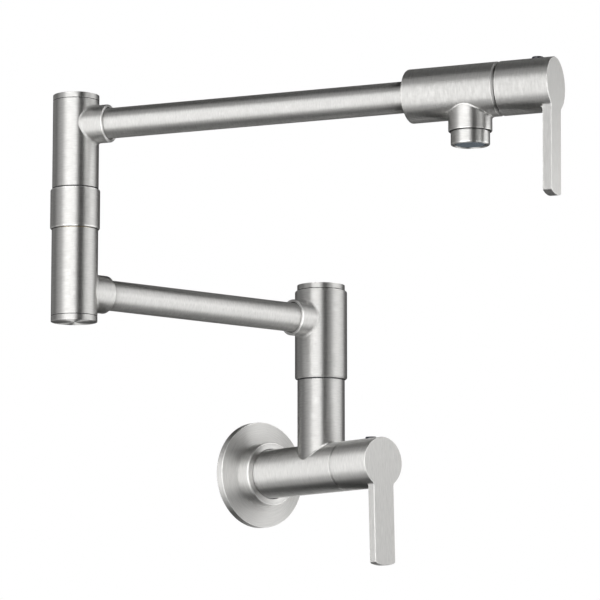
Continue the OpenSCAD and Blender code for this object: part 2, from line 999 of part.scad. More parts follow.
module inlet_seat_washer() { at_inlet_valve() seat_washer(); }
module inlet_fixed_disc() { at_inlet_valve() fixed_disc(); }
module inlet_cartridge_body() { at_inlet_valve() cartridge_body(); }
module inlet_cartridge_o_ring() { at_inlet_valve() cartridge_o_ring(); }
module outlet_seat_washer() { at_outlet_valve() seat_washer(); }
module outlet_fixed_disc() { at_outlet_valve() fixed_disc(); }
module outlet_cartridge_body() { at_outlet_valve() cartridge_body(); }
module outlet_cartridge_o_ring() { at_outlet_valve() cartridge_o_ring(); }

// Outline of the lever bar: straight sides, a curved foot and hollows at the neck
module lever_outline() {
    neck_x = lever_w / 2 + lever_neck_r;
    neck_y = -sqrt((body_r + lever_neck_r) * (body_r + lever_neck_r) - neck_x * neck_x);
    touch = body_r / (body_r + lever_neck_r);
    intersection() {
        translate([-lever_w / 2, -lever_length])
            square([lever_w, lever_length]);
        union() {
            translate([0, lever_foot_r - lever_length])
                circle(r = lever_foot_r);
            translate([-lever_w / 2, lever_foot_r - lever_length])
                square([lever_w, lever_length - lever_foot_r]);
        }
    }
    for (side = [-1, 1])
        difference() {
            polygon([
                [0, 0],
                [side * neck_x * touch, neck_y * touch],
                [side * neck_x, neck_y],
                [side * lever_w / 2, neck_y],
                [0, neck_y]
            ]);
            translate([side * neck_x, neck_y])
                circle(r = lever_neck_r);
        }
}

// Handle: round hub and lever bar in one casting
module lever_handle() {
    color(steel)
        difference() {
            union() {
                translate([0, 0, handle_gap])
                    bevelled_tube(body_r, 0, handle_length - handle_gap, edge_bevel, lever_bevel);
                translate([0, 0, handle_length - lever_t])
                    linear_extrude(lever_t)
                        lever_outline();
            }
            translate([0, 0, -over])
                cylinder(r = hub_cavity_r, h = hub_cavity_depth + over);
            translate([0, 0, -over])
                linear_extrude(handle_length - spline_front + 2 * over)
                    polygon(spline_points(spline_root_r + join_gap, spline_tip_r + join_gap));
            translate([0, 0, handle_length - plug_back])
                rotate([-90, 0, 0]) {
                    cylinder(r = screw_r + join_gap, h = body_r + over);
                    translate([0, 0, body_r - plug_depth])
                        cylinder(r = plug_r + join_gap, h = plug_depth + over);
                }
        }
}

// Set screw with its hexagon key hole, clamped on the stem
module set_screw() {
    color(brass)
        translate([0, 0, handle_length - plug_back])
            rotate([-90, 0, 0])
                translate([0, 0, screw_back])
                    difference() {
                        cylinder(r = screw_r, h = screw_length);
                        translate([0, 0, screw_length - screw_key_depth])
                            cylinder(r = screw_key_r, h = screw_key_depth + over, $fn = 6);
                    }
}

module plug_button() {
    color(plug_blue)
        translate([0, 0, handle_length - plug_back])
            rotate([-90, 0, 0])
                translate([0, 0, body_r - plug_depth])
                    bevelled_tube(plug_r, 0, plug_depth + plug_proud, plug_dome, plug_dome);
}

module inlet_lever() { at_inlet_handle() lever_handle(); }
module inlet_stem() { at_inlet_handle() stem(); }
module inlet_moving_disc() { at_inlet_handle() moving_disc(); }
module inlet_stem_o_rings() { at_inlet_handle() stem_o_rings(); }
module inlet_set_screw() { at_inlet_handle() set_screw(); }
module inlet_plug_button() { at_inlet_handle() plug_button(); }
module outlet_lever() { at_outlet_handle() lever_handle(); }
module outlet_stem() { at_outlet_handle() stem(); }
module outlet_moving_disc() { at_outlet_handle() moving_disc(); }
module outlet_stem_o_rings() { at_outlet_handle() stem_o_rings(); }
module outlet_set_screw() { at_outlet_handle() set_screw(); }
module outlet_plug_button() { at_outlet_handle() plug_button(); }

flange();
flange_gasket();
collar_o_ring();
inlet_body();
riser_tube();
riser_spigot();
riser_o_rings();
riser_thrust_washer();
riser_nut_washer();
riser_nut();
inlet_seat_washer();
inlet_fixed_disc();
inlet_cartridge_body();
inlet_cartridge_o_ring();
lower_swivel_sleeve();
lower_swivel_cap();
lower_swivel_cap_seal();
lower_arm_tube();
elbow_lower_body();
elbow_bottom_cap();
elbow_bottom_cap_seal();
elbow_spigot();
elbow_o_rings();
elbow_ring();
elbow_thrust_washer();
elbow_nut_washer();
elbow_nut();
elbow_upper_body();
elbow_top_cap();
elbow_top_cap_seal();
upper_arm_tube();
outlet_body();
spout_nozzle();
aerator_washer();
aerator_shell();
aerator_insert();
outlet_seat_washer();
outlet_fixed_disc();
outlet_cartridge_body();
outlet_cartridge_o_ring();
inlet_lever();
inlet_stem();
inlet_moving_disc();
inlet_stem_o_rings();
inlet_set_screw();
inlet_plug_button();
outlet_lever();
outlet_stem();
outlet_moving_disc();
outlet_stem_o_rings();
outlet_set_screw();
outlet_plug_button();
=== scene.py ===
"""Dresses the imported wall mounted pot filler: brushed metal pieces, finishes, studio and camera."""
import json
import logging
import math
from collections.abc import Callable, Sequence
from dataclasses import dataclass
from enum import Enum
from functools import partial

import bpy
from mathutils import Matrix, Vector


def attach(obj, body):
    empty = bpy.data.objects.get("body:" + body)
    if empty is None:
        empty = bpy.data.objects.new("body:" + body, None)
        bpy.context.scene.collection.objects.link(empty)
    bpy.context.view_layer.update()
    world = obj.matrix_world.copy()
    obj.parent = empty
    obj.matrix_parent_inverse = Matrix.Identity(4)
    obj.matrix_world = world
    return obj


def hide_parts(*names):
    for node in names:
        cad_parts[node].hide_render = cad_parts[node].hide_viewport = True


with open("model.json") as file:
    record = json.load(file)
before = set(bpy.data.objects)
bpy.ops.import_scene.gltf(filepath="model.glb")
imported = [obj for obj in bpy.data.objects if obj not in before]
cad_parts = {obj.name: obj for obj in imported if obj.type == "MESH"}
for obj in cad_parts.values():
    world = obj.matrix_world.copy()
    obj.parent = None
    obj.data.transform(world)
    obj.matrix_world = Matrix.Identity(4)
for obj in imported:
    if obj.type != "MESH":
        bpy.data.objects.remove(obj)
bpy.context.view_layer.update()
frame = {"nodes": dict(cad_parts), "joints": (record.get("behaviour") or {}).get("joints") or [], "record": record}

LOG = logging.getLogger("pot_filler")
MM = 0.001
UP = Vector((0, 0, 1))
# Steps of a whole turn on the lathe, of a socket's round, across a hollow and round a lip
TURN_STEPS = 192
SOCKET_STEPS = 128
HOLLOW_STEPS = 10
LIP_STEPS = 4
# Least bend of an edge that is shaded sharp, and of an edge that is picked to be rounded
SMOOTH_ANGLE = math.radians(35)
SHARP_ANGLE = math.radians(20)
# Millimetres within which vertices merge, and within which a known place is found again
MERGE_MM = 0.002
FIND_MM = 0.01
# Millimetres that a cut runs past what it cuts, and that a joined form sinks into the next
OVER = 1.0
SINK = 0.03
# Share of a stub's radius that its inner rings have, and the least z of a flat face's normal
CORE_SHARE = 0.7
FACING = 0.9

Point = tuple[float, float]
Colour = tuple[float, float, float]


class Pick(Enum):
    """What a selection in edit mode is made of."""

    EDGES = (False, True, False)
    FACES = (False, False, True)


class Join(Enum):
    """How another solid is combined with a piece."""

    ADD = "UNION"
    CUT = "DIFFERENCE"


class Slot(Enum):
    """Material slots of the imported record."""

    NICKEL = "nickel"
    BRASS = "brass"
    SCREW = "screw"
    RUBBER = "rubber"
    ACETAL = "acetal"
    CERAMIC = "ceramic"
    INSERT = "insert"
    PLUG = "plug"


class Hairs(Enum):
    """How the hairlines of a brushed stretch run."""

    ROUND = "round"
    STRAIGHT = "straight"


class Cuts(Enum):
    """How many faces go across a rounding."""

    CHAMFER = 2
    FINE = 3
    MEDIUM = 4
    BROAD = 5
    FULL = 6


@dataclass(frozen=True)
class Stretch:
    """A stretch of a piece that was brushed in one pass.

    place has its z along the axis that the hairlines run round, or its y along straight ones.
    shade is how much painted shade darkens its metal, nearly black inside a seam.
    """

    place: Matrix
    hairs: Hairs = Hairs.ROUND
    covers: Callable[[Vector, Vector], bool] = lambda spot, normal: True
    shade: float = 0.0


@dataclass(frozen=True)
class Rim:
    """An edge ring of a turned piece, and the radius that rounds it."""

    radius: float
    height: float
    size: float
    cuts: Cuts = Cuts.MEDIUM


def axes(origin: Vector, along: Vector, upright: Vector) -> Matrix:
    """Gives the place whose z runs along one direction and whose y stays near another.

    Args:
        origin: Origin of the place, in metres.
        along: Direction of the z axis.
        upright: Direction of the y axis, square to along.

    Returns:
        The matrix from that place to the tap's frame.
    """
    z_axis = along.normalized()
    y_axis = upright.normalized()
    x_axis = y_axis.cross(z_axis)
    turn = Matrix((x_axis, y_axis, z_axis)).transposed().to_4x4()
    return Matrix.Translation(origin) @ turn


def up_along(height: float) -> Matrix:
    """Gives the shift along a place's own z axis, from millimetres."""
    return Matrix.Translation((0, 0, height * MM))


def near(metres: float, millimetres: float) -> bool:
    """Says whether a place in metres is the one given in millimetres."""
    return abs(metres - millimetres * MM) < FIND_MM * MM


def edge_normals(mesh: bpy.types.Mesh) -> dict[int, list[Vector]]:
    """Gathers the normals of the faces at each edge.

    Args:
        mesh: The mesh.

    Returns:
        For each edge's index, the normals of the faces that meet there.
    """
    sides: dict[int, list[Vector]] = {}
    for face in mesh.polygons:
        for corner in face.loop_indices:
            sides.setdefault(mesh.loops[corner].edge_index, []).append(face.normal)
    return sides


def only(piece: bpy.types.Object) -> None:
    """Makes a piece the one selected and active object.

    Args:
        piece: The piece.
    """
    bpy.ops.object.select_all(action="DESELECT")
    piece.select_set(True)
    bpy.context.view_layer.objects.active = piece


def edit(piece: bpy.types.Object, kind: Pick, chosen: Sequence[int]) -> None:
    """Enters edit mode with the chosen elements selected, and no others.

    Args:
        piece: The piece to edit.
        kind: Whether edges or faces are chosen.
        chosen: Their indices.
    """
    only(piece)
    mesh = piece.data
    for elements in (mesh.vertices, mesh.edges, mesh.polygons):
        elements.foreach_set("select", [False] * len(elements))
    bpy.context.tool_settings.mesh_select_mode = kind.value
    elements = mesh.edges if kind is Pick.EDGES else mesh.polygons
    for index in chosen:
        elements[index].select = True
        for vertex in elements[index].vertices:
            mesh.vertices[vertex].select = True
    bpy.ops.object.mode_set(mode="EDIT")


def leave_edit() -> None:
    """Goes back to object mode."""
    bpy.ops.object.mode_set(mode="OBJECT")


def modified(piece: bpy.types.Object, kind: str, **settings: object) -> None:
    """Adds a modifier with its settings and applies it.

    Args:
        piece: The piece to change.
        kind: The modifier's type.
        **settings: Values for the modifier's properties.
    """
    only(piece)
    modifier = piece.modifiers.new(kind.title(), kind)
    for name, value in settings.items():
        setattr(modifier, name, value)
    bpy.ops.object.modifier_apply(modifier=modifier.name)


def combined(piece: bpy.types.Object, other: bpy.types.Object, join: Join) -> None:
    """Joins another solid to a piece, or cuts it away, and uses it up.

    Args:
        piece: The piece to change.
        other: The solid that is joined or cut away.
        join: Which of the two.
    """
    modified(piece, "BOOLEAN", object=other, operation=join.value, solver="EXACT")
    bpy.data.objects.remove(other)


def sliced(piece: bpy.types.Object, spot: Vector, beyond: Vector) -> None:
    """Cuts off what lies beyond a plane, and closes the cut.

    Args:
        piece: The piece to change.
        spot: A point of the plane, in metres.
        beyond: The plane's normal, which points to what is cut off.
    """
    edit(piece, Pick.FACES, range(len(piece.data.polygons)))
    bpy.ops.mesh.bisect(plane_co=spot, plane_no=beyond, use_fill=True, clear_outer=True)
    leave_edit()


def placed(piece: bpy.types.Object, place: Matrix) -> bpy.types.Object:
    """Moves a piece's mesh to its place and leaves its object at the origin.

    Args:
        piece: The piece, modelled at the origin.
        place: Its place in the tap's frame.

    Returns:
        The piece.
    """
    only(piece)
    piece.matrix_world = place
    bpy.ops.object.transform_apply(location=True, rotation=True, scale=True)
    return piece


def cleaned(piece: bpy.types.Object) -> None:
    """Merges doubled vertices and turns every face outwards.

    Args:
        piece: The piece.
    """
    edit(piece, Pick.FACES, range(len(piece.data.polygons)))
    bpy.ops.mesh.remove_doubles(threshold=MERGE_MM * MM)
    bpy.ops.mesh.normals_make_consistent(inside=False)
    leave_edit()


def turned(
    name: str, outline: Sequence[Point], rims: Sequence[Rim] = (), steps: int = TURN_STEPS
) -> bpy.types.Object:
    """Turns a piece on the lathe: spins a closed outline round z and rounds its rims.

    Args:
        name: Name of the piece.
        outline: Corners of half its section as radius and height, in millimetres.
        rims: The edge rings to round, and how far.
        steps: Steps of the whole turn.

    Returns:
        The turned piece.
    """
    bpy.ops.object.select_all(action="DESELECT")
    bpy.ops.mesh.primitive_circle_add(vertices=len(outline), fill_type="NOTHING")
    piece = bpy.context.object
    piece.name = name
    for vertex, (radius, height) in zip(piece.data.vertices, outline):
        vertex.co = (radius * MM, 0, height * MM)
    on_axis = [
        edge.index for edge in piece.data.edges
        if all(piece.data.vertices[end].co.x < MERGE_MM * MM for end in edge.vertices)
    ]
    edit(piece, Pick.EDGES, on_axis)
    if on_axis:
        bpy.ops.mesh.delete(type="EDGE")
    bpy.ops.mesh.select_all(action="SELECT")
    bpy.ops.mesh.spin(steps=steps, angle=math.tau, center=(0, 0, 0), axis=(0, 0, 1))
    bpy.ops.mesh.select_all(action="SELECT")
    bpy.ops.mesh.remove_doubles(threshold=MERGE_MM * MM)
    bpy.ops.mesh.normals_make_consistent(inside=False)
    leave_edit()
    for rim in rims:
        round_rim(piece, rim)
    return piece


def round_rim(piece: bpy.types.Object, rim: Rim) -> None:
    """Rounds one edge ring of a piece that is turned round z.

    Args:
        piece: The piece to change.
        rim: Where the ring lies, and how it is rounded.
    """
    on_rim = [
        near(math.hypot(vertex.co.x, vertex.co.y), rim.radius) and near(vertex.co.z, rim.height)
        for vertex in piece.data.vertices
    ]
    ring = [edge.index for edge in piece.data.edges if all(on_rim[end] for end in edge.vertices)]
    bevel_edges(piece, ring, rim.size, rim.cuts)


def bevel_edges(
    piece: bpy.types.Object, edges: Sequence[int], size: float, cuts: Cuts
) -> None:
    """Rounds the given edges of a piece.

    Args:
        piece: The piece to change.
        edges: Indices of the edges.
        size: Radius of the rounding, in millimetres.
        cuts: Faces across the rounding.
    """
    edit(piece, Pick.EDGES, edges)
    bpy.ops.mesh.bevel(offset=size * MM, segments=cuts.value, profile=0.5, affect="EDGES")
    leave_edit()


def pulled(name: str, rings: Sequence[Callable[[float], Vector]]) -> bpy.types.Object:
    """Pulls the rings of a sphere out to a closed form.

    Args:
        name: Name of the form.
        rings: For each ring from the top pole down, its point in millimetres at an angle.

    Returns:
        The form, with its poles in the middle of the first and last rings.
    """
    bpy.ops.object.select_all(action="DESELECT")
    bpy.ops.mesh.primitive_uv_sphere_add(segments=SOCKET_STEPS, ring_count=len(rings) + 1)
    piece = bpy.context.object
    piece.name = name
    for vertex in piece.data.vertices:
        level = round(math.acos(max(-1, min(1, vertex.co.z))) / math.pi * (len(rings) + 1))
        if 1 <= level <= len(rings):
            vertex.co = rings[level - 1](math.atan2(vertex.co.y, vertex.co.x)) * MM
        else:
            ring = rings[0] if level == 0 else rings[-1]
            vertex.co = (ring(0) + ring(math.pi)) / 2 * MM
    return piece


@dataclass(frozen=True)
class Flare:
    """A round stub along z that flows with a hollow into a column lying along y.

    Sizes are in millimetres. end is the stub's flat end above the column's axis, and lip is the
    radius of the rounded edge that the hollow ends in, proud of the column.
    """

    stub_r: float
    column_r: float
    hollow_r: float
    end: float
    lip: float = 0

    @staticmethod
    def level(radius: float, height: float, angle: float) -> Vector:
        """Gives the point of a level ring at an angle."""
        return Vector((radius * math.cos(angle), radius * math.sin(angle), height))

    def hollow(self, share: float, angle: float) -> Vector:
        """Works out a point of the hollow.

        Args:
            share: How far round the hollow it lies, from the stub to the column.
            angle: Its angle round the stub.

        Returns:
            The point.
        """
        outward = self.level(1, 0, angle)
        centre = outward * (self.stub_r + self.hollow_r)
        centre.z = math.sqrt((self.column_r + self.lip + self.hollow_r) ** 2 - centre.x ** 2)
        to_column = Vector((-centre.x, 0, -centre.z)).normalized()
        depth = SINK if share == 1 and not self.lip else 0
        return centre + (-outward).slerp(to_column, share) * (self.hollow_r + depth)

    def edge(self, share: float, angle: float) -> Vector:
        """Works out a point of the lip.

        Args:
            share: How far round the lip it lies, from its crest down into the column.
            angle: Its angle round the stub.

        Returns:
            The point.
        """
        crest = self.hollow(1, angle)
        upward = Vector((crest.x, 0, crest.z)).normalized()
        outward = self.level(1, 0, angle)
        outward = (outward - upward * outward.dot(upward)).normalized()
        turn = share * math.pi / 2
        drop = self.lip * (1 - math.cos(turn)) + (SINK if share == 1 else 0)
        return crest + outward * self.lip * math.sin(turn) - upward * drop

    def made(self, name: str) -> bpy.types.Object:
        """Makes the closed form, whose inner end lies in the column.

        Args:
            name: Name of the form.

        Returns:
            The form.
        """
        inner = CORE_SHARE * self.stub_r
        rings = [partial(self.level, radius, self.end) for radius in (inner, self.stub_r)]
        rings += [partial(self.hollow, step / HOLLOW_STEPS) for step in range(HOLLOW_STEPS + 1)]
        if self.lip:
            rings += [partial(self.edge, (step + 1) / LIP_STEPS) for step in range(LIP_STEPS)]
        rings += [partial(self.level, inner, 0)]
        return pulled(name, rings)


def bore(
    outline: Sequence[Point], place: Matrix, steps: int = SOCKET_STEPS
) -> bpy.types.Object:
    """Makes the solid that cuts a round bore."""
    return placed(turned("bore", outline, steps=steps), place)


def drill(radius: float, start: float, stop: float) -> list[Point]:
    """Gives the outline of a plain drilled hole."""
    return [(0, start), (radius, start), (radius, stop), (0, stop)]


def smoothed(piece: bpy.types.Object) -> None:
    """Shades a piece smooth between its edges and keeps its flats flat.

    Args:
        piece: The piece.
    """
    only(piece)
    bpy.ops.object.shade_smooth_by_angle(angle=SMOOTH_ANGLE)
    modified(piece, "WEIGHTED_NORMAL", keep_sharp=True)


class Brush:
    """Writes the hairlines' course, the painted shade and the worn edges of a piece into its corners."""

    # Least and most bend between two faces of a rounding, and the wear of its outer edges
    WORN_FROM = math.radians(17)
    WORN_TO = math.radians(60)
    WORN_OUTER = 0.35
    # How fast the grain changes round the axis, and the millimetres of a straight line that
    # count as one step of it
    SLOW_TURN = 2.9
    SLOW_LENGTH = 7.0
    # How far a millimetre out from the axis shifts the lines, so that flat faces have them too
    SLANT = 1.7
    # A face that looks along the straight lines more than this has them the other way
    ALONG_LINES = 0.8
    # Least length of a cross product that still gives a direction
    PARALLEL = 0.002

    def __init__(self, stretches: Sequence[Stretch]) -> None:
        """Keeps the stretches that the piece is brushed in, the first that covers a face first."""
        self.stretches = [(stretch, stretch.place.inverted()) for stretch in stretches]

    def work(self, piece: bpy.types.Object) -> None:
        """Writes grain, across, painted shade and wear on every corner of the piece.

        Args:
            piece: The piece.
        """
        mesh = piece.data
        grain = []
        across = []
        shade = []
        for face in mesh.polygons:
            stretch, inverse = self.stretch_of(face)
            normal = inverse.to_3x3() @ face.normal
            middle = inverse @ face.center
            for corner in face.loop_indices:
                spot = inverse @ mesh.vertices[mesh.loops[corner].vertex_index].co
                course, square = self.course(stretch.hairs, spot, middle, normal)
                grain.extend(course)
                across.extend(stretch.place.to_3x3() @ square)
                shade.append(stretch.shade)
        self.store(mesh, "grain", "FLOAT_VECTOR", "vector", grain)
        self.store(mesh, "across", "FLOAT_VECTOR", "vector", across)
        self.store(mesh, "shade", "FLOAT", "value", shade)
        self.store(mesh, "wear", "FLOAT", "value", self.worn(mesh))

    def stretch_of(self, face: bpy.types.MeshPolygon) -> tuple[Stretch, Matrix]:
        """Finds the stretch that covers a face.

        Args:
            face: A face of the piece.

        Returns:
            The first stretch that covers it, and the matrix from the tap's frame into its place.
        """
        for stretch, inverse in self.stretches:
            spot = inverse @ face.center / MM
            if stretch.covers(spot, inverse.to_3x3() @ face.normal):
                return stretch, inverse
        return self.stretches[-1]

    def course(
        self, hairs: Hairs, spot: Vector, middle: Vector, normal: Vector
    ) -> tuple[Vector, Vector]:
        """Works out the hairlines at a corner.

        Args:
            hairs: How they run.
            spot: The corner in the stretch's place, in metres.
            middle: The middle of its face there.
            normal: The face's normal there.

        Returns:
            The grain's coordinates, two slow and one fine, and the direction across the lines.
        """
        spot_mm = spot / MM
        if hairs is Hairs.STRAIGHT:
            line = Vector((0, 1, 0)) if abs(normal.y) < self.ALONG_LINES else Vector((1, 0, 0))
            fine = spot_mm.x + self.SLANT * spot_mm.z
            course = Vector((spot_mm.y / self.SLOW_LENGTH, spot_mm.z / self.SLOW_LENGTH, fine))
            return course, line.cross(normal).normalized()
        arm = Vector((spot.x, spot.y, 0))
        if arm.length < MERGE_MM * MM:
            arm = Vector((middle.x, middle.y, 0))
        arm.normalize()
        around = Vector((-arm.y, arm.x, 0))
        radius = math.hypot(spot_mm.x, spot_mm.y)
        fine = spot_mm.z + self.SLANT * radius
        course = Vector((arm.x * self.SLOW_TURN, arm.y * self.SLOW_TURN, fine))
        square = around.cross(normal)
        if square.length < self.PARALLEL:
            square = UP.copy()
        return course, square.normalized()

    def worn(self, mesh: bpy.types.Mesh) -> list[float]:
        """Finds how worn each corner is: the faces across a rounding, less at their outer edges.

        Args:
            mesh: The piece's mesh.

        Returns:
            The wear of each corner, from 0 to 1.
        """
        bent = {
            edge for edge, normals in edge_normals(mesh).items()
            if len(normals) == 2
            and self.WORN_FROM < normals[0].angle(normals[1], 0) < self.WORN_TO
        }
        vertices = {end for edge in bent for end in mesh.edges[edge].vertices}
        worn = []
        for face in mesh.polygons:
            on_rounding = any(mesh.loops[corner].edge_index in bent for corner in face.loop_indices)
            for corner in face.loop_indices:
                inner = mesh.loops[corner].vertex_index in vertices
                worn.append((1.0 if inner else self.WORN_OUTER) if on_rounding else 0.0)
        return worn

    @staticmethod
    def store(
        mesh: bpy.types.Mesh, name: str, kind: str, field: str, values: Sequence[float]
    ) -> None:
        """Writes one value for each corner of a mesh."""
        attribute = mesh.attributes.new(name, kind, "CORNER")
        attribute.data.foreach_set(field, values)


class Sheet:
    """A node tree with short calls to add nodes and to join them."""

    def __init__(self, tree: bpy.types.NodeTree) -> None:
        """Takes an empty tree."""
        self.tree = tree
        tree.nodes.clear()

    def add(self, kind: str, **settings: object) -> bpy.types.Node:
        """Adds a node and sets its properties.

        Args:
            kind: The node's type.
            **settings: Values for its properties.

        Returns:
            The node.
        """
        node = self.tree.nodes.new(kind)
        for name, value in settings.items():
            setattr(node, name, value)
        return node

    def join(self, source: bpy.types.NodeSocket, target: bpy.types.NodeSocket) -> None:
        """Links two sockets."""
        self.tree.links.new(source, target)

    def feed(self, target: bpy.types.NodeSocket, value: object) -> None:
        """Links a socket to a target, or sets the target's own value.

        Args:
            target: The socket that is fed.
            value: Another node's socket, or a value.
        """
        if isinstance(value, bpy.types.NodeSocket):
            self.join(value, target)
        else:
            target.default_value = value

    def maths(self, operation: str, *values: object) -> bpy.types.NodeSocket:
        """Adds a Math node.

        Args:
            operation: What it works out.
            *values: A number or a socket for each input.

        Returns:
            Its output.
        """
        node = self.add("ShaderNodeMath", operation=operation)
        for target, value in zip(node.inputs, values):
            self.feed(target, value)
        return node.outputs[0]

    def centred(self, value: bpy.types.NodeSocket, depth: object) -> bpy.types.NodeSocket:
        """Turns a texture's 0 to 1 into one plus or minus half a depth."""
        offset = self.maths("SUBTRACT", value, 0.5)
        return self.maths("MULTIPLY_ADD", offset, depth, 1.0)

    def attribute(self, name: str) -> bpy.types.Node:
        """Adds a node that reads one of the piece's own attributes."""
        return self.add("ShaderNodeAttribute", attribute_type="GEOMETRY", attribute_name=name)

    def noise(
        self, spot: bpy.types.NodeSocket, scale: object, detail: float = 2.0, roughness: float = 0.5
    ) -> bpy.types.NodeSocket:
        """Adds a noise texture.

        Args:
            spot: The coordinates that it reads.
            scale: Its scale, a number or a socket.
            detail: How many finer layers it has.
            roughness: How strong the finer layers are.

        Returns:
            Its value, from 0 to 1.
        """
        node = self.add("ShaderNodeTexNoise", noise_dimensions="3D")
        self.feed(node.inputs["Vector"], spot)
        self.feed(node.inputs["Scale"], scale)
        self.feed(node.inputs["Detail"], detail)
        self.feed(node.inputs["Roughness"], roughness)
        return node.outputs[0]

    def effect(self, group: bpy.types.NodeTree, inputs: dict[str, object]) -> bpy.types.NodeOutputs:
        """Places a shared effect with values of its own.

        Args:
            group: The effect.
            inputs: A number or a socket for each of its inputs.

        Returns:
            The effect's outputs.
        """
        node = self.add("ShaderNodeGroup", node_tree=group)
        for label, value in inputs.items():
            self.feed(node.inputs[label], value)
        return node.outputs

    def tinted(self, base: Colour, share: bpy.types.NodeSocket) -> bpy.types.NodeSocket:
        """Multiplies a colour by a value that changes over the surface.

        Args:
            base: The colour.
            share: The value.

        Returns:
            The product.
        """
        node = self.add("ShaderNodeVectorMath", operation="SCALE")
        node.inputs[0].default_value = base
        self.join(share, node.inputs["Scale"])
        return node.outputs[0]


class Effect(Enum):
    """The effects that the finishes share."""

    GRAIN = "BrushedGrain"
    WEAR = "EdgeWear"
    SPECKLE = "Speckle"


class Kind(Enum):
    """What a group's socket carries."""

    FLOAT = "NodeSocketFloat"
    VECTOR = "NodeSocketVector"


class GroupSheet(Sheet):
    """The sheet of a shader node group, with the group's own inputs and outputs."""

    def __init__(self, effect: Effect, inputs: dict[str, Kind], outputs: Sequence[str]) -> None:
        """Starts a group.

        Args:
            effect: The effect that it draws.
            inputs: Name and kind of each input socket.
            outputs: Names of the output sockets, which carry numbers.
        """
        super().__init__(bpy.data.node_groups.new(effect.value, "ShaderNodeTree"))
        for label, kind in inputs.items():
            self.tree.interface.new_socket(label, in_out="INPUT", socket_type=kind.value)
        for label in outputs:
            self.tree.interface.new_socket(label, in_out="OUTPUT", socket_type=Kind.FLOAT.value)
        self.source = self.add("NodeGroupInput").outputs
        self.target = self.add("NodeGroupOutput").inputs


def brushed_grain_group() -> bpy.types.NodeTree:
    """Builds the group that draws hairlines.

    Returns:
        The group, which puts out a tint, a share of the roughness and a height.
    """
    sheet = GroupSheet(
        Effect.GRAIN,
        {"Course": Kind.VECTOR, "Fine Pitch": Kind.FLOAT, "Coarse Pitch": Kind.FLOAT,
         "Tint Depth": Kind.FLOAT, "Gloss Depth": Kind.FLOAT},
        ("Tint", "Gloss", "Height"),
    )
    detail = 3.0
    roughness = 0.6
    parts = sheet.add("ShaderNodeSeparateXYZ")
    sheet.join(sheet.source["Course"], parts.inputs[0])
    lines = []
    for pitch in ("Fine Pitch", "Coarse Pitch"):
        drawn = sheet.add("ShaderNodeCombineXYZ")
        sheet.join(parts.outputs["X"], drawn.inputs["X"])
        sheet.join(parts.outputs["Y"], drawn.inputs["Y"])
        fine = sheet.maths("DIVIDE", parts.outputs["Z"], sheet.source[pitch])
        sheet.join(fine, drawn.inputs["Z"])
        lines.append(sheet.noise(drawn.outputs[0], 1.0, detail, roughness))
    mean = sheet.maths("MULTIPLY", sheet.maths("ADD", *lines), 0.5)
    sheet.join(sheet.centred(mean, sheet.source["Tint Depth"]), sheet.target["Tint"])
    sheet.join(sheet.centred(lines[1], sheet.source["Gloss Depth"]), sheet.target["Gloss"])
    sheet.join(mean, sheet.target["Height"])
    return sheet.tree


def edge_wear_group() -> bpy.types.NodeTree:
    """Builds the group that masks worn edges, broken up by a fine noise.

    Returns:
        The group, which puts out a tint and a share of the roughness.
    """
    sheet = GroupSheet(
        Effect.WEAR,
        {"Wear": Kind.FLOAT, "Spot": Kind.VECTOR, "Scale": Kind.FLOAT, "Brighten": Kind.FLOAT,
         "Polish": Kind.FLOAT},
        ("Tint", "Gloss"),
    )
    least = 0.6
    depth = 0.8
    noise = sheet.noise(sheet.source["Spot"], sheet.source["Scale"])
    broken = sheet.maths("MULTIPLY_ADD", noise, depth, least)
    mask = sheet.maths("MULTIPLY", sheet.source["Wear"], broken)
    for strength, target in (("Brighten", "Tint"), ("Polish", "Gloss")):
        share = sheet.maths("MULTIPLY_ADD", mask, sheet.source[strength], 1.0)
        sheet.join(share, sheet.target[target])
    return sheet.tree


def speckle_group() -> bpy.types.NodeTree:
    """Builds the group that breaks up moulded, cast and lapped surfaces.

    Returns:
        The group, which puts out a tint, a share of the roughness and a height.
    """
    sheet = GroupSheet(
        Effect.SPECKLE,
        {"Spot": Kind.VECTOR, "Scale": Kind.FLOAT, "Tint Depth": Kind.FLOAT,
         "Gloss Depth": Kind.FLOAT},
        ("Tint", "Gloss", "Height"),
    )
    detail = 4.0
    patch_share = 0.12
    spot = sheet.source["Spot"]
    scale = sheet.source["Scale"]
    specks = sheet.noise(spot, scale, detail)
    patches = sheet.noise(spot, sheet.maths("MULTIPLY", scale, patch_share))
    sheet.join(sheet.centred(specks, sheet.source["Tint Depth"]), sheet.target["Tint"])
    sheet.join(sheet.centred(patches, sheet.source["Gloss Depth"]), sheet.target["Gloss"])
    sheet.join(specks, sheet.target["Height"])
    return sheet.tree


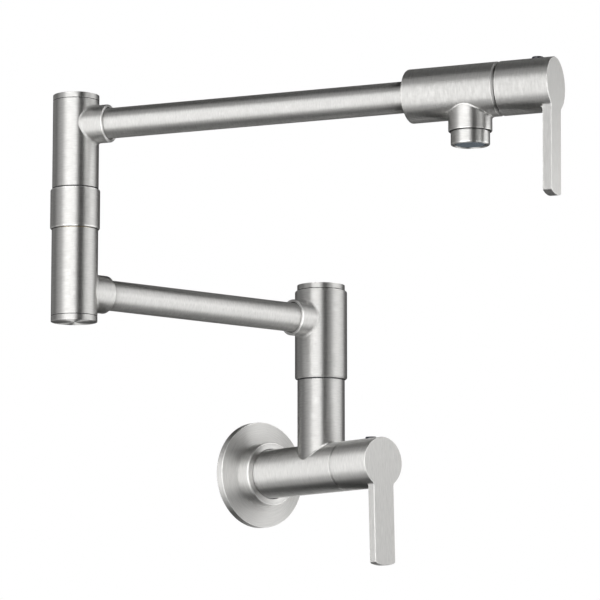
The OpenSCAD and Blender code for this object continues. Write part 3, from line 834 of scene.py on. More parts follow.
@dataclass(frozen=True, kw_only=True)
class Finish:
    """What every finish has: a colour, a roughness, and the depths of its texture.

    tint_depth and gloss_depth are how far the texture moves the colour and the roughness, and
    bump_mm is the height of its relief.
    """

    name: str
    base: Colour
    roughness: float
    tint_depth: float
    gloss_depth: float
    bump: float = 0.15
    bump_mm: float = 0.05

    def start(self) -> tuple[bpy.types.Material, Sheet, bpy.types.Node]:
        """Starts the material.

        Returns:
            The material, its sheet and its shader.
        """
        material = bpy.data.materials.new(self.name)
        material.use_nodes = True
        sheet = Sheet(material.node_tree)
        shader = sheet.add("ShaderNodeBsdfPrincipled")
        output = sheet.add("ShaderNodeOutputMaterial")
        sheet.join(shader.outputs[0], output.inputs["Surface"])
        return material, sheet, shader

    def texture(
        self, sheet: Sheet, shader: bpy.types.Node, tint: bpy.types.NodeSocket,
        gloss: bpy.types.NodeSocket, height: bpy.types.NodeSocket,
    ) -> None:
        """Feeds a texture to the shader's colour, roughness and relief.

        Args:
            sheet: The material's sheet.
            shader: Its shader.
            tint: Share of the base colour.
            gloss: Share of the roughness.
            height: Height of the relief.
        """
        sheet.join(sheet.tinted(self.base, tint), shader.inputs["Base Color"])
        sheet.join(sheet.maths("MULTIPLY", gloss, self.roughness), shader.inputs["Roughness"])
        bump = sheet.add("ShaderNodeBump")
        bump.inputs["Strength"].default_value = self.bump
        bump.inputs["Distance"].default_value = self.bump_mm * MM
        sheet.join(height, bump.inputs["Height"])
        sheet.join(bump.outputs[0], shader.inputs["Normal"])


@dataclass(frozen=True, kw_only=True)
class BrushedFinish(Finish):
    """Brushed metal: long hairlines across the light, brighter worn edges.

    rim is the colour at a grazing angle, stretch how far the hairlines stretch the gloss, and the
    pitches are millimetres. brighten and polish are what wear adds to the colour and the
    roughness. A stretch whose painted shade is more than metal_until loses its metal reflection
    too, so that the painted shade in a seam stays nearly black.
    """

    rim: Colour
    stretch: float
    fine_pitch: float = 0.4
    coarse_pitch: float = 1.0
    tint_depth: float = 0.85
    gloss_depth: float = 0.8
    wear_scale: float = 450.0
    brighten: float = 0.22
    polish: float = -0.3
    metal_until: float = 0.5

    def material(self, groups: dict[Effect, bpy.types.NodeTree]) -> bpy.types.Material:
        """Builds the material.

        Args:
            groups: The group of each shared effect.

        Returns:
            The material.
        """
        material, sheet, shader = self.start()
        grain = sheet.effect(groups[Effect.GRAIN], {
            "Course": sheet.attribute("grain").outputs["Vector"],
            "Fine Pitch": self.fine_pitch, "Coarse Pitch": self.coarse_pitch,
            "Tint Depth": self.tint_depth, "Gloss Depth": self.gloss_depth,
        })
        wear = sheet.effect(groups[Effect.WEAR], {
            "Wear": sheet.attribute("wear").outputs["Fac"],
            "Spot": sheet.add("ShaderNodeTexCoord").outputs["Object"],
            "Scale": self.wear_scale, "Brighten": self.brighten, "Polish": self.polish,
        })
        # Painted shade: the shade attribute darkens the base colour, and past metal_until it turns the metal off,
        # so that seams and shaded faces go dark
        shade = sheet.attribute("shade").outputs["Fac"]
        tint = sheet.maths("MULTIPLY", grain["Tint"], wear["Tint"])
        tint = sheet.maths("MULTIPLY", tint, sheet.maths("SUBTRACT", 1.0, shade))
        gloss = sheet.maths("MULTIPLY", grain["Gloss"], wear["Gloss"])
        self.texture(sheet, shader, tint, gloss, grain["Height"])
        sheet.join(sheet.maths("LESS_THAN", shade, self.metal_until), shader.inputs["Metallic"])
        across = sheet.add(
            "ShaderNodeVectorTransform", vector_type="VECTOR", convert_from="OBJECT",
            convert_to="WORLD",
        )
        sheet.join(sheet.attribute("across").outputs["Vector"], across.inputs[0])
        sheet.join(across.outputs[0], shader.inputs["Tangent"])
        shader.inputs["Anisotropic"].default_value = self.stretch
        shader.inputs["Specular Tint"].default_value = (*self.rim, 1.0)
        return material


@dataclass(frozen=True, kw_only=True)
class PlainFinish(Finish):
    """A turned, cast, moulded or lapped surface, broken up by a fine speckle."""

    metallic: float = 0.0
    scale: float = 900.0
    tint_depth: float = 0.3
    gloss_depth: float = 0.4
    coat: float = 0.0

    def material(self, groups: dict[Effect, bpy.types.NodeTree]) -> bpy.types.Material:
        """Builds the material.

        Args:
            groups: The group of each shared effect.

        Returns:
            The material.
        """
        material, sheet, shader = self.start()
        speckle = sheet.effect(groups[Effect.SPECKLE], {
            "Spot": sheet.add("ShaderNodeTexCoord").outputs["Object"], "Scale": self.scale,
            "Tint Depth": self.tint_depth, "Gloss Depth": self.gloss_depth,
        })
        self.texture(sheet, shader, speckle["Tint"], speckle["Gloss"], speckle["Height"])
        shader.inputs["Metallic"].default_value = self.metallic
        shader.inputs["Coat Weight"].default_value = self.coat
        return material


FINISHES: dict[Slot, BrushedFinish | PlainFinish] = {
    Slot.NICKEL: BrushedFinish(
        name="BrushedNickel", base=(0.66, 0.655, 0.64), rim=(1.0, 1.0, 1.0), roughness=0.52,
        stretch=1.0,
    ),
    Slot.BRASS: PlainFinish(
        name="TurnedBrass", base=(0.78, 0.6, 0.31), roughness=0.3, metallic=1.0, scale=1500.0
    ),
    Slot.SCREW: PlainFinish(
        name="PlainStainless", base=(0.5, 0.5, 0.5), roughness=0.35, metallic=1.0, scale=1500.0
    ),
    Slot.RUBBER: PlainFinish(name="SealRubber", base=(0.018, 0.018, 0.02), roughness=0.75),
    Slot.ACETAL: PlainFinish(name="BlackAcetal", base=(0.025, 0.025, 0.028), roughness=0.5),
    Slot.CERAMIC: PlainFinish(
        name="LappedCeramic", base=(0.86, 0.85, 0.81), roughness=0.25, tint_depth=0.08, bump=0.05
    ),
    Slot.INSERT: PlainFinish(
        name="AeratorMesh", base=(0.095, 0.115, 0.135), roughness=0.42, metallic=0.4, scale=1200.0
    ),
    Slot.PLUG: PlainFinish(
        name="PlugPlastic", base=(0.004, 0.005, 0.012), roughness=0.3, scale=1400.0, coat=0.1
    ),
}


class Dresser:
    """Gives pieces and carried-over solids their finish, body and slot."""

    def __init__(self) -> None:
        """Builds the shared effects and one material for each slot."""
        groups = {
            Effect.GRAIN: brushed_grain_group(),
            Effect.WEAR: edge_wear_group(),
            Effect.SPECKLE: speckle_group(),
        }
        self.materials = {slot: finish.material(groups) for slot, finish in FINISHES.items()}
        self.done: set[str] = set()
        self.bodies = {
            node: body
            for body, nodes in frame["record"]["behaviour"]["bodies"].items()
            for node in nodes
        }

    def dress(
        self, piece: bpy.types.Object, node: str, slot: Slot, stretches: Sequence[Stretch] = ()
    ) -> None:
        """Finishes a new piece and hands it over in place of its solid.

        Args:
            piece: The modelled piece, in place.
            node: The solid that it stands for.
            slot: The record's slot of its finish.
            stretches: The stretches that it was brushed in, for a brushed piece.
        """
        cleaned(piece)
        smoothed(piece)
        if stretches:
            Brush(stretches).work(piece)
        piece.data.materials.clear()
        piece.data.materials.append(self.materials[slot])
        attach(piece, self.bodies[node])
        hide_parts(node)
        self.done.add(node)
        LOG.info("%s: %d faces", piece.name, len(piece.data.polygons))

    def dress_solids(self) -> None:
        """Gives the solids that stay, inside the tap, the finish of their slot."""
        for part in frame["record"]["subparts"]:
            node = part["node"]
            if node in self.done:
                continue
            solid = frame["nodes"][node]
            solid.data.materials.clear()
            solid.data.materials.append(self.materials[Slot(part["material_slot"])])
            LOG.info("%s keeps its solid", node)


class Layout:
    """Where the axes of the pot filler lie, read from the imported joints."""

    def __init__(self, joints: Sequence[dict]) -> None:
        """Works the places out from the joints' positions and axes.

        Args:
            joints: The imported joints.
        """
        spot = {joint["name"]: Vector(joint["pos_m"]) for joint in joints}
        axis = {joint["name"]: Vector(joint["axis"]) for joint in joints}
        swivel = spot["lower_swivel"]
        elbow = spot["elbow_swivel"]
        out = axis["inlet_lever_turn"]
        along = axis["outlet_lever_turn"]
        level = Vector((elbow.x - swivel.x, elbow.y - swivel.y, 0)).normalized()
        self.inlet = axes(Vector(), out, UP)
        self.riser = axes(Vector((swivel.x, swivel.y, 0)), UP, out)
        self.elbow = axes(Vector((elbow.x, elbow.y, 0)), UP, out)
        self.lower_arm = axes(swivel, level, UP)
        self.lower_arm_back = axes(Vector((elbow.x, elbow.y, swivel.z)), -level, UP)
        self.upper_arm = axes(elbow, along, UP)
        self.arm_reach = (elbow - swivel).to_2d().length / MM

    def spout(self, reach: float) -> Matrix:
        """Gives the spout's place, z down and y along the outlet body, at a reach in millimetres."""
        along = self.upper_arm.to_3x3() @ UP
        return axes(self.upper_arm @ Vector((0, 0, reach * MM)), -UP, along)


@dataclass(frozen=True)
class Stock:
    """Sizes that several sub-assemblies share, in millimetres."""

    body_r: float = 17.1
    chamber_r: float = 13.0
    chamber_depth: float = 36.0
    waterway_r: float = 6.0
    seam_bevel: float = 1.5
    # Painted shade of the faces inside a seam, and the millimetres within which such faces are found
    seam_painted_shade: float = 0.95
    painted_shade_margin: float = 0.05
    edge_bevel: float = 0.4
    tube_r: float = 10.0
    tube_wall: float = 1.2
    tube_edge: float = 0.25
    tube_stop: float = 1.0
    socket_r: float = 12.5
    socket_bevel: float = 0.7
    socket_hollow_r: float = 2.0
    socket_margin: float = 0.02
    saddle_hollow_r: float = 1.2
    saddle_lip: float = 0.22
    chamfer_edge: float = 0.2
    seam_edge: float = 0.2
    mouth_gap: float = 0.5
    mouth_depth: float = 2.0
    mouth_chamfer: float = 0.3
    join_gap: float = 0.05
    run_gap: float = 0.08
    thrust_t: float = 0.8
    face_gap: float = 0.1
    seal_t: float = 0.4
    cap_t: float = 3.6
    cap_plug_length: float = 4.4


STOCK = Stock()


def seam_corners(end: float) -> list[Point]:
    """Gives the two corners of the bevel at a body's handle end."""
    return [(STOCK.body_r, end - STOCK.seam_bevel), (STOCK.body_r - STOCK.seam_bevel, end)]


def seam_rims(end: float) -> list[Rim]:
    """Gives the two edge rings of the bevel at a body's handle end."""
    return [Rim(*corner, STOCK.chamfer_edge, Cuts.CHAMFER) for corner in seam_corners(end)]


def end_face(place: Matrix, height: float, shade: float = STOCK.seam_painted_shade) -> Stretch:
    """Gives the stretch of a flat face at a height that painted shade darkens.

    Args:
        place: Place of the piece, its z square to the face.
        height: Height of the face, in millimetres.
        shade: How much painted shade darkens it.

    Returns:
        The stretch.
    """
    return Stretch(
        place, shade=shade,
        covers=lambda spot, normal: abs(spot.z - height) < STOCK.painted_shade_margin
        and abs(normal.z) > FACING,
    )


def inner_wall(place: Matrix, radius: float) -> Stretch:
    """Gives the stretch of a bore's wall, and of what lies deeper in it, darkened with painted shade.

    Args:
        place: Place of the bore, its z along it.
        radius: Radius of the bore, in millimetres.

    Returns:
        The stretch.
    """
    return Stretch(
        place, shade=STOCK.seam_painted_shade,
        covers=lambda spot, normal: spot.z > 0
        and math.hypot(spot.x, spot.y) < radius + STOCK.painted_shade_margin,
    )


def outside(column_r: float) -> Callable[[Vector, Vector], bool]:
    """Gives the test for faces of a socket, seen from the socket's place: beyond its column."""
    least = column_r + STOCK.socket_margin
    return lambda spot, normal: spot.z > 0 and math.hypot(spot.x, spot.z) > least


def socket_stretches(column_r: float, place: Matrix) -> list[Stretch]:
    """Gives the stretches of an arm socket: its mouth darkened with painted shade, and its brushed outside."""
    mouth = STOCK.tube_r + STOCK.mouth_gap
    return [inner_wall(place, mouth), Stretch(place, covers=outside(column_r))]


def arm_socket(column_r: float, end: float, place: Matrix) -> bpy.types.Object:
    """Makes the solid of an arm socket on a column, ready to be joined to it.

    Args:
        column_r: Radius of the column.
        end: Distance of the socket's mouth from the column's axis.
        place: Place of the arm, with its origin on that axis.

    Returns:
        The solid, in place.
    """
    socket = Flare(STOCK.socket_r, column_r, STOCK.socket_hollow_r, end).made("socket")
    round_rim(socket, Rim(STOCK.socket_r, end, STOCK.socket_bevel))
    return placed(socket, place)


def socket_bore(end: float, place: Matrix) -> bpy.types.Object:
    """Makes the solid that cuts an arm socket's bore, with its wider mouth.

    Args:
        end: Distance of the mouth from the column's axis.
        place: Place of the arm, with its origin on that axis.

    Returns:
        The solid, in place.
    """
    tube = STOCK.tube_r + STOCK.join_gap
    mouth = STOCK.tube_r + STOCK.mouth_gap
    flare = STOCK.mouth_chamfer
    outline = [
        (0, 0), (tube, 0), (tube, end - STOCK.mouth_depth), (mouth, end - STOCK.mouth_depth),
        (mouth, end - flare), (mouth + flare + OVER, end + OVER), (0, end + OVER),
    ]
    return bore(outline, place)


def tube(name: str, start: float, stop: float, place: Matrix) -> bpy.types.Object:
    """Makes an arm tube between two distances along its place's z axis.

    Args:
        name: Name of the tube.
        start: Its near end, in millimetres.
        stop: Its far end.
        place: Place of the arm.

    Returns:
        The tube, in place.
    """
    outer = STOCK.tube_r
    inner = outer - STOCK.tube_wall
    outline = [(inner, start), (outer, start), (outer, stop), (inner, stop)]
    rims = [Rim(outer, end, STOCK.tube_edge, Cuts.FINE) for end in (start, stop)]
    return placed(turned(name, outline, rims), place)


def column_cap(name: str, cap_r: float, plug_r: float, place: Matrix) -> bpy.types.Object:
    """Makes a column's cap with its threaded plug.

    Args:
        name: Name of the cap.
        cap_r: Its radius.
        plug_r: Radius of the column's bore.
        place: Place of the underside of its rim.

    Returns:
        The cap, in place.
    """
    plug = plug_r - STOCK.join_gap
    foot = -STOCK.cap_plug_length
    outline = [(0, foot), (plug, foot), (plug, 0), (cap_r, 0), (cap_r, STOCK.cap_t), (0, STOCK.cap_t)]
    rims = [
        Rim(cap_r, 0, STOCK.seam_edge, Cuts.FINE),
        Rim(cap_r, STOCK.cap_t, STOCK.edge_bevel, Cuts.FINE),
        Rim(plug, foot, STOCK.edge_bevel, Cuts.FINE),
    ]
    return placed(turned(name, outline, rims), place)


def swivel_bore(chamber_r: float, step: float, bearing: float, height: float) -> list[Point]:
    """Gives the outline of a swivel's bore, narrow round the spigot and wide above it.

    Args:
        chamber_r: Radius of the wide part.
        step: How much narrower the spigot is.
        bearing: Height of the spigot's bearing above the column's foot.
        height: Height of the column.

    Returns:
        The outline.
    """
    spigot_r = chamber_r - step + STOCK.run_gap
    shoulder = bearing - STOCK.thrust_t - STOCK.face_gap
    return [
        (0, -OVER), (spigot_r, -OVER), (spigot_r, shoulder), (chamber_r, shoulder),
        (chamber_r, height + OVER), (0, height + OVER),
    ]


@dataclass(frozen=True)
class Column:
    """A round column with an arm's socket on its side, in millimetres."""

    name: str
    radius: float
    height: float
    edge: float
    cuts: Cuts
    socket_end: float

    def made(self, place: Matrix, arm: Matrix, hollow: Sequence[Point]) -> bpy.types.Object:
        """Turns the column, joins its socket and bores both.

        Args:
            place: Place of the column's foot.
            arm: Place of the arm, with its origin on the column's axis.
            hollow: Outline of the column's bore.

        Returns:
            The column, in place.
        """
        outline = [(0, 0), (self.radius, 0), (self.radius, self.height), (0, self.height)]
        rims = [Rim(self.radius, end, self.edge, self.cuts) for end in (0, self.height)]
        piece = placed(turned(self.name, outline, rims), place)
        combined(piece, arm_socket(self.radius, self.socket_end, arm), Join.ADD)
        combined(piece, bore(hollow, place), Join.CUT)
        combined(piece, socket_bore(self.socket_end, arm), Join.CUT)
        return piece


@dataclass
class WallUnit:
    """What is fixed to the wall: flange, inlet body and riser."""

    layout: Layout
    dresser: Dresser
    flange_r: float = 37.1
    flange_t: float = 6.2
    flange_rim: float = 4.5
    flange_sheet_t: float = 2.2
    flange_bevel: float = 0.5
    flange_back_edge: float = 0.3
    gasket_t: float = 0.5
    bore_gap: float = 0.5
    collar_wall: float = 4.7
    collar_out: float = 16.5
    collar_bevel: float = 1.1
    collar_hollow_r: float = 1.0
    collar_land: float = 0.3
    collar_ring_y: float = 12.5
    collar_ring_r: float = 1.0
    # Painted shade that darkens the collar's front face a little
    collar_painted_shade: float = 0.15
    ring_side_gap: float = 0.2
    inlet_length: float = 97.2
    thread_r: float = 9.15
    thread_depth: float = 18.0
    riser_r: float = 16.4
    riser_height: float = 60.9
    riser_bore_r: float = 8.0
    riser_seat_r: float = 12.0
    seat_length: float = 22.0

    def build(self) -> None:
        """Builds and dresses the three pieces."""
        place = self.layout.inlet
        # Painted shade darkens the flange's bore and the seam faces, and the collar's front face a little
        self.dresser.dress(self.flange(), "flange", Slot.NICKEL, [
            inner_wall(place, STOCK.body_r + self.bore_gap),
            end_face(place, self.collar_out, self.collar_painted_shade), Stretch(place),
        ])
        self.dresser.dress(self.inlet_body(), "inlet_body", Slot.NICKEL, [
            end_face(place, self.inlet_length), Stretch(place),
        ])
        riser = self.layout.riser
        self.dresser.dress(self.riser(), "riser_tube", Slot.NICKEL, [
            end_face(riser, self.riser_height), Stretch(riser),
        ])

    def flange(self) -> bpy.types.Object:
        """Turns the wall flange with its hollow back, collar and seal groove.

        Returns:
            The flange, in place.
        """
        bore_r = STOCK.body_r + self.bore_gap
        collar_r = bore_r + self.collar_wall
        hollow_r = self.flange_r - self.flange_rim
        under = self.flange_t - self.flange_sheet_t
        groove_r = STOCK.body_r + 2 * self.collar_ring_r + 2 * STOCK.join_gap
        groove_half = self.collar_ring_r + self.ring_side_gap
        outline = [
            (bore_r, under), (hollow_r, under), (hollow_r, self.gasket_t),
            (self.flange_r, self.gasket_t), (self.flange_r, self.flange_t),
            (collar_r, self.flange_t), (collar_r, self.collar_out),
            (bore_r + self.collar_land, self.collar_out),
            (bore_r, self.collar_out - self.collar_land),
            (bore_r, self.collar_ring_y + groove_half), (groove_r, self.collar_ring_y + groove_half),
            (groove_r, self.collar_ring_y - groove_half), (bore_r, self.collar_ring_y - groove_half),
        ]
        rims = [
            Rim(self.flange_r, self.flange_t, self.flange_bevel),
            Rim(self.flange_r, self.gasket_t, self.flange_back_edge, Cuts.FINE),
            Rim(collar_r, self.collar_out, self.collar_bevel, Cuts.BROAD),
            Rim(collar_r, self.flange_t, self.collar_hollow_r, Cuts.FULL),
        ]
        return placed(turned("brushed_flange", outline, rims), self.layout.inlet)

    def inlet_body(self) -> bpy.types.Object:
        """Turns the inlet body and bores its port up to the riser.

        Returns:
            The body, in place.
        """
        end = self.inlet_length
        seat = end - STOCK.chamber_depth
        outline = [
            (self.thread_r, 0), (STOCK.body_r, 0), *seam_corners(end), (STOCK.chamber_r, end),
            (STOCK.chamber_r, seat), (STOCK.waterway_r, seat), (STOCK.waterway_r, self.thread_depth),
            (self.thread_r, self.thread_depth),
        ]
        rims = [
            Rim(STOCK.body_r, 0, STOCK.edge_bevel, Cuts.FINE),
            Rim(self.thread_r, 0, STOCK.edge_bevel, Cuts.FINE),
            *seam_rims(end),
        ]
        body = placed(turned("brushed_inlet_body", outline, rims), self.layout.inlet)
        port = drill(self.riser_bore_r, 0, STOCK.body_r + OVER)
        combined(body, bore(port, self.layout.riser), Join.CUT)
        return body

    def riser(self) -> bpy.types.Object:
        """Makes the riser, saddled on the inlet body with a small hollow, and bores it.

        Returns:
            The riser, in place.
        """
        riser = Flare(
            self.riser_r, STOCK.body_r, STOCK.saddle_hollow_r, self.riser_height, STOCK.saddle_lip
        ).made("brushed_riser")
        round_rim(riser, Rim(self.riser_r, self.riser_height, STOCK.seam_edge, Cuts.FINE))
        placed(riser, self.layout.riser)
        saddle = drill(STOCK.body_r + STOCK.join_gap / 2, -self.inlet_length, 2 * self.inlet_length)
        combined(riser, bore(saddle, self.layout.inlet, TURN_STEPS), Join.CUT)
        seat = self.riser_height - self.seat_length
        top = self.riser_height + OVER
        hollow = [
            (0, 0), (self.riser_bore_r, 0), (self.riser_bore_r, seat), (self.riser_seat_r, seat),
            (self.riser_seat_r, top), (0, top),
        ]
        combined(riser, bore(hollow, self.layout.riser), Join.CUT)
        return riser


@dataclass
class LowerArm:
    """The lower arm with its swivel sleeve and the lower half of the elbow."""

    layout: Layout
    dresser: Dresser
    sleeve_r: float = 18.1
    sleeve_z: float = 61.7
    sleeve_height: float = 62.0
    sleeve_bevel: float = 1.6
    sleeve_chamber_r: float = 14.0
    sleeve_bearing: float = 26.2
    sleeve_cap_r: float = 16.55
    sleeve_socket_end: float = 26.9
    spigot_step: float = 1.5
    elbow_r: float = 15.2
    elbow_chamber_r: float = 12.0
    elbow_z: float = 86.8
    elbow_height: float = 56.6
    elbow_socket_end: float = 24.8
    ring_r: float = 16.25
    ring_wall: float = 3.0
    ring_height: float = 26.4
    ring_seam: float = 0.4
    ring_bevel: float = 1.1

    def build(self) -> None:
        """Builds and dresses the pieces of the lower arm."""
        nickel = Slot.NICKEL
        layout = self.layout
        riser = Stretch(layout.riser)
        elbow = Stretch(layout.elbow)
        dress = self.dresser.dress
        sleeve_top = self.sleeve_z + self.sleeve_height
        # The seam faces and the socket's mouth get painted shade, nearly black
        dress(self.sleeve(), "lower_swivel_sleeve", nickel, [
            end_face(layout.riser, self.sleeve_z), end_face(layout.riser, sleeve_top),
            *socket_stretches(self.sleeve_r, layout.lower_arm), riser,
        ])
        top = layout.riser @ up_along(sleeve_top + STOCK.seal_t)
        cap = column_cap("brushed_swivel_cap", self.sleeve_cap_r, self.sleeve_chamber_r, top)
        dress(cap, "lower_swivel_cap", nickel, [end_face(top, 0), riser])
        start = self.sleeve_chamber_r + STOCK.tube_stop
        stop = layout.arm_reach - self.elbow_chamber_r - STOCK.tube_stop
        arm = tube("brushed_lower_arm_tube", start, stop, layout.lower_arm)
        dress(arm, "lower_arm_tube", nickel, [Stretch(layout.lower_arm)])
        elbow_top = self.elbow_z + self.elbow_height
        dress(self.elbow_body(), "elbow_lower_body", nickel, [
            end_face(layout.elbow, self.elbow_z), end_face(layout.elbow, elbow_top),
            *socket_stretches(self.elbow_r, layout.lower_arm_back), elbow,
        ])
        foot = layout.elbow @ up_along(self.elbow_z - STOCK.seal_t)
        foot = foot @ Matrix.Rotation(math.pi, 4, "X")
        cap = column_cap("brushed_elbow_bottom_cap", self.elbow_r, self.elbow_chamber_r, foot)
        dress(cap, "elbow_bottom_cap", nickel, [end_face(foot, 0), elbow])
        ring_z = elbow_top + self.ring_seam
        dress(self.ring(ring_z), "elbow_ring", nickel, [
            end_face(layout.elbow, ring_z), end_face(layout.elbow, ring_z + self.ring_height), elbow,
        ])

    def sleeve(self) -> bpy.types.Object:
        """Makes the sleeve that turns on the riser, with the socket of the lower arm.

        Returns:
            The sleeve, in place.
        """
        height = self.sleeve_height
        column = Column(
            "brushed_swivel_sleeve", self.sleeve_r, height, self.sleeve_bevel, Cuts.FULL,
            self.sleeve_socket_end,
        )
        hollow = swivel_bore(self.sleeve_chamber_r, self.spigot_step, self.sleeve_bearing, height)
        place = self.layout.riser @ up_along(self.sleeve_z)
        return column.made(place, self.layout.lower_arm, hollow)

    def elbow_body(self) -> bpy.types.Object:
        """Makes the elbow's lower body, with the socket of the lower arm.

        Returns:
            The body, in place.
        """
        height = self.elbow_height
        column = Column(
            "brushed_elbow_lower_body", self.elbow_r, height, STOCK.seam_edge, Cuts.FINE,
            self.elbow_socket_end,
        )
        hollow = drill(self.elbow_chamber_r, -OVER, height + OVER)
        place = self.layout.elbow @ up_along(self.elbow_z)
        return column.made(place, self.layout.lower_arm_back, hollow)

    def ring(self, foot: float) -> bpy.types.Object:
        """Turns the ring between the two halves of the elbow.

        Args:
            foot: Height of its foot, in millimetres.

        Returns:
            The ring, in place.
        """
        inner = self.ring_r - self.ring_wall
        height = self.ring_height
        outline = [(inner, 0), (self.ring_r, 0), (self.ring_r, height), (inner, height)]
        rims = [Rim(self.ring_r, end, self.ring_bevel, Cuts.BROAD) for end in (0, height)]
        return placed(turned("brushed_elbow_ring", outline, rims), self.layout.elbow @ up_along(foot))


@dataclass
class UpperArm:
    """The upper arm with the upper half of the elbow, the outlet body and the spout."""

    layout: Layout
    dresser: Dresser
    elbow_r: float = 15.2
    chamber_r: float = 12.0
    spigot_step: float = 1.5
    bearing: float = 22.0
    elbow_z: float = 171.0
    elbow_height: float = 58.0
    socket_end: float = 24.8
    reach: float = 276.0
    outlet_back: float = 40.3
    outlet_front: float = 20.9
    outlet_bevel: float = 1.5
    outlet_socket: float = 13.0
    port_r: float = 7.5
    nozzle_r: float = 13.75
    nozzle_down: float = 25.5
    nozzle_bevel: float = 0.6
    aerator_r: float = 12.25
    aerator_top: float = 26.0
    aerator_height: float = 8.2
    aerator_bevel: float = 1.0
    thread_r: float = 11.25
    thread_length: float = 7.0
    washer_t: float = 1.4
    insert_r: float = 10.05
    insert_wall: float = 1.0
    insert_length: float = 11.0
    insert_edge: float = 0.8
    insert_floor_t: float = 1.6
    insert_recess: float = 0.5
    floor_recess: float = 1.6
    mesh_recess: float = 0.3
    hole_rings: int = 4
    holes_a_ring: int = 6
    hole_pitch: float = 1.95
    hole_r: float = 0.72
    hole_steps: int = 12
    wire_t: float = 0.34
    wires: int = 18

    def build(self) -> None:
        """Builds and dresses the pieces of the upper arm."""
        nickel = Slot.NICKEL
        layout = self.layout
        dress = self.dresser.dress
        elbow = Stretch(layout.elbow)
        spout = layout.spout(self.reach)
        elbow_top = self.elbow_z + self.elbow_height
        # The seam faces and the socket's mouth get painted shade, nearly black
        dress(self.elbow_body(), "elbow_upper_body", nickel, [
            end_face(layout.elbow, self.elbow_z), end_face(layout.elbow, elbow_top),
            *socket_stretches(self.elbow_r, layout.upper_arm), elbow,
        ])
        top = layout.elbow @ up_along(elbow_top + STOCK.seal_t)
        cap = column_cap("brushed_elbow_top_cap", self.elbow_r, self.chamber_r, top)
        dress(cap, "elbow_top_cap", nickel, [end_face(top, 0), elbow])
        start = self.chamber_r + STOCK.tube_stop
        stop = self.reach - self.outlet_back + self.outlet_socket
        arm = tube("brushed_upper_arm_tube", start, stop, layout.upper_arm)
        dress(arm, "upper_arm_tube", nickel, [Stretch(layout.upper_arm)])
        dress(self.outlet_body(spout), "outlet_body", nickel, [
            end_face(layout.upper_arm, self.reach + self.outlet_front), Stretch(layout.upper_arm),
        ])
        dress(self.nozzle(spout), "spout_nozzle", nickel, [
            end_face(spout, self.nozzle_down), Stretch(spout),
        ])
        dress(self.aerator(spout), "aerator_shell", nickel, [
            end_face(spout, self.aerator_top), Stretch(spout),
        ])
        dress(self.insert(spout), "aerator_insert", Slot.INSERT)

    def elbow_body(self) -> bpy.types.Object:
        """Makes the elbow's upper body, with the socket of the upper arm.

        Returns:
            The body, in place.
        """
        height = self.elbow_height
        column = Column(
            "brushed_elbow_upper_body", self.elbow_r, height, STOCK.seam_edge, Cuts.FINE,
            self.socket_end,
        )
        hollow = swivel_bore(self.chamber_r, self.spigot_step, self.bearing, height)
        place = self.layout.elbow @ up_along(self.elbow_z)
        return column.made(place, self.layout.upper_arm, hollow)

    def outlet_body(self, spout: Matrix) -> bpy.types.Object:
        """Turns the outlet body and bores its port down to the nozzle.

        Args:
            spout: Place of the spout.

        Returns:
            The body, in place.
        """
        start = self.reach - self.outlet_back
        end = self.reach + self.outlet_front
        seat = end - STOCK.chamber_depth
        socket_r = STOCK.tube_r + STOCK.join_gap
        stop = start + self.outlet_socket
        outline = [
            (socket_r, start), (STOCK.body_r, start), *seam_corners(end), (STOCK.chamber_r, end),
            (STOCK.chamber_r, seat), (STOCK.waterway_r, seat), (STOCK.waterway_r, stop),
            (socket_r, stop),
        ]
        rims = [
            Rim(socket_r, start, STOCK.mouth_chamfer, Cuts.FINE),
            Rim(STOCK.body_r, start, self.outlet_bevel, Cuts.FULL),
            *seam_rims(end),
        ]
        body = placed(turned("brushed_outlet_body", outline, rims), self.layout.upper_arm)
        port = drill(self.port_r, 0, STOCK.body_r + OVER)
        combined(body, bore(port, spout), Join.CUT)
        return body

    def nozzle(self, spout: Matrix) -> bpy.types.Object:
        """Makes the spout nozzle, saddled under the outlet body, and bores it.

        Args:
            spout: Place of the spout.

        Returns:
            The nozzle, in place.
        """
        end = self.nozzle_down
        nozzle = Flare(
            self.nozzle_r, STOCK.body_r, STOCK.saddle_hollow_r, end, STOCK.saddle_lip
        ).made("brushed_spout_nozzle")
        round_rim(nozzle, Rim(self.nozzle_r, end, self.nozzle_bevel))
        placed(nozzle, spout)
        saddle = drill(STOCK.body_r + STOCK.join_gap / 2, 0, 2 * self.reach)
        combined(nozzle, bore(saddle, self.layout.upper_arm, TURN_STEPS), Join.CUT)
        step = self.aerator_top - self.thread_length - self.washer_t
        hollow = [
            (0, 0), (self.port_r, 0), (self.port_r, step), (self.thread_r, step),
            (self.thread_r, end + OVER), (0, end + OVER),
        ]
        combined(nozzle, bore(hollow, spout), Join.CUT)
        return nozzle

    def aerator(self, spout: Matrix) -> bpy.types.Object:
        """Turns the aerator's shell with its thread, rounded seam edge and bevelled mouth.

        Args:
            spout: Place of the spout.

        Returns:
            The shell, in place.
        """
        inner = self.insert_r + STOCK.join_gap
        thread = self.thread_r - STOCK.join_gap
        foot = self.aerator_top + self.aerator_height
        outline = [
            (inner, self.aerator_top - self.thread_length),
            (thread, self.aerator_top - self.thread_length), (thread, self.aerator_top),
            (self.aerator_r, self.aerator_top), (self.aerator_r, foot), (inner, foot),
        ]
        rims = [
            Rim(self.aerator_r, self.aerator_top, STOCK.seam_edge, Cuts.FINE),
            Rim(self.aerator_r, foot, self.aerator_bevel, Cuts.BROAD),
            Rim(inner, foot, STOCK.edge_bevel, Cuts.FINE),
        ]
        return placed(turned("brushed_aerator_shell", outline, rims), spout)

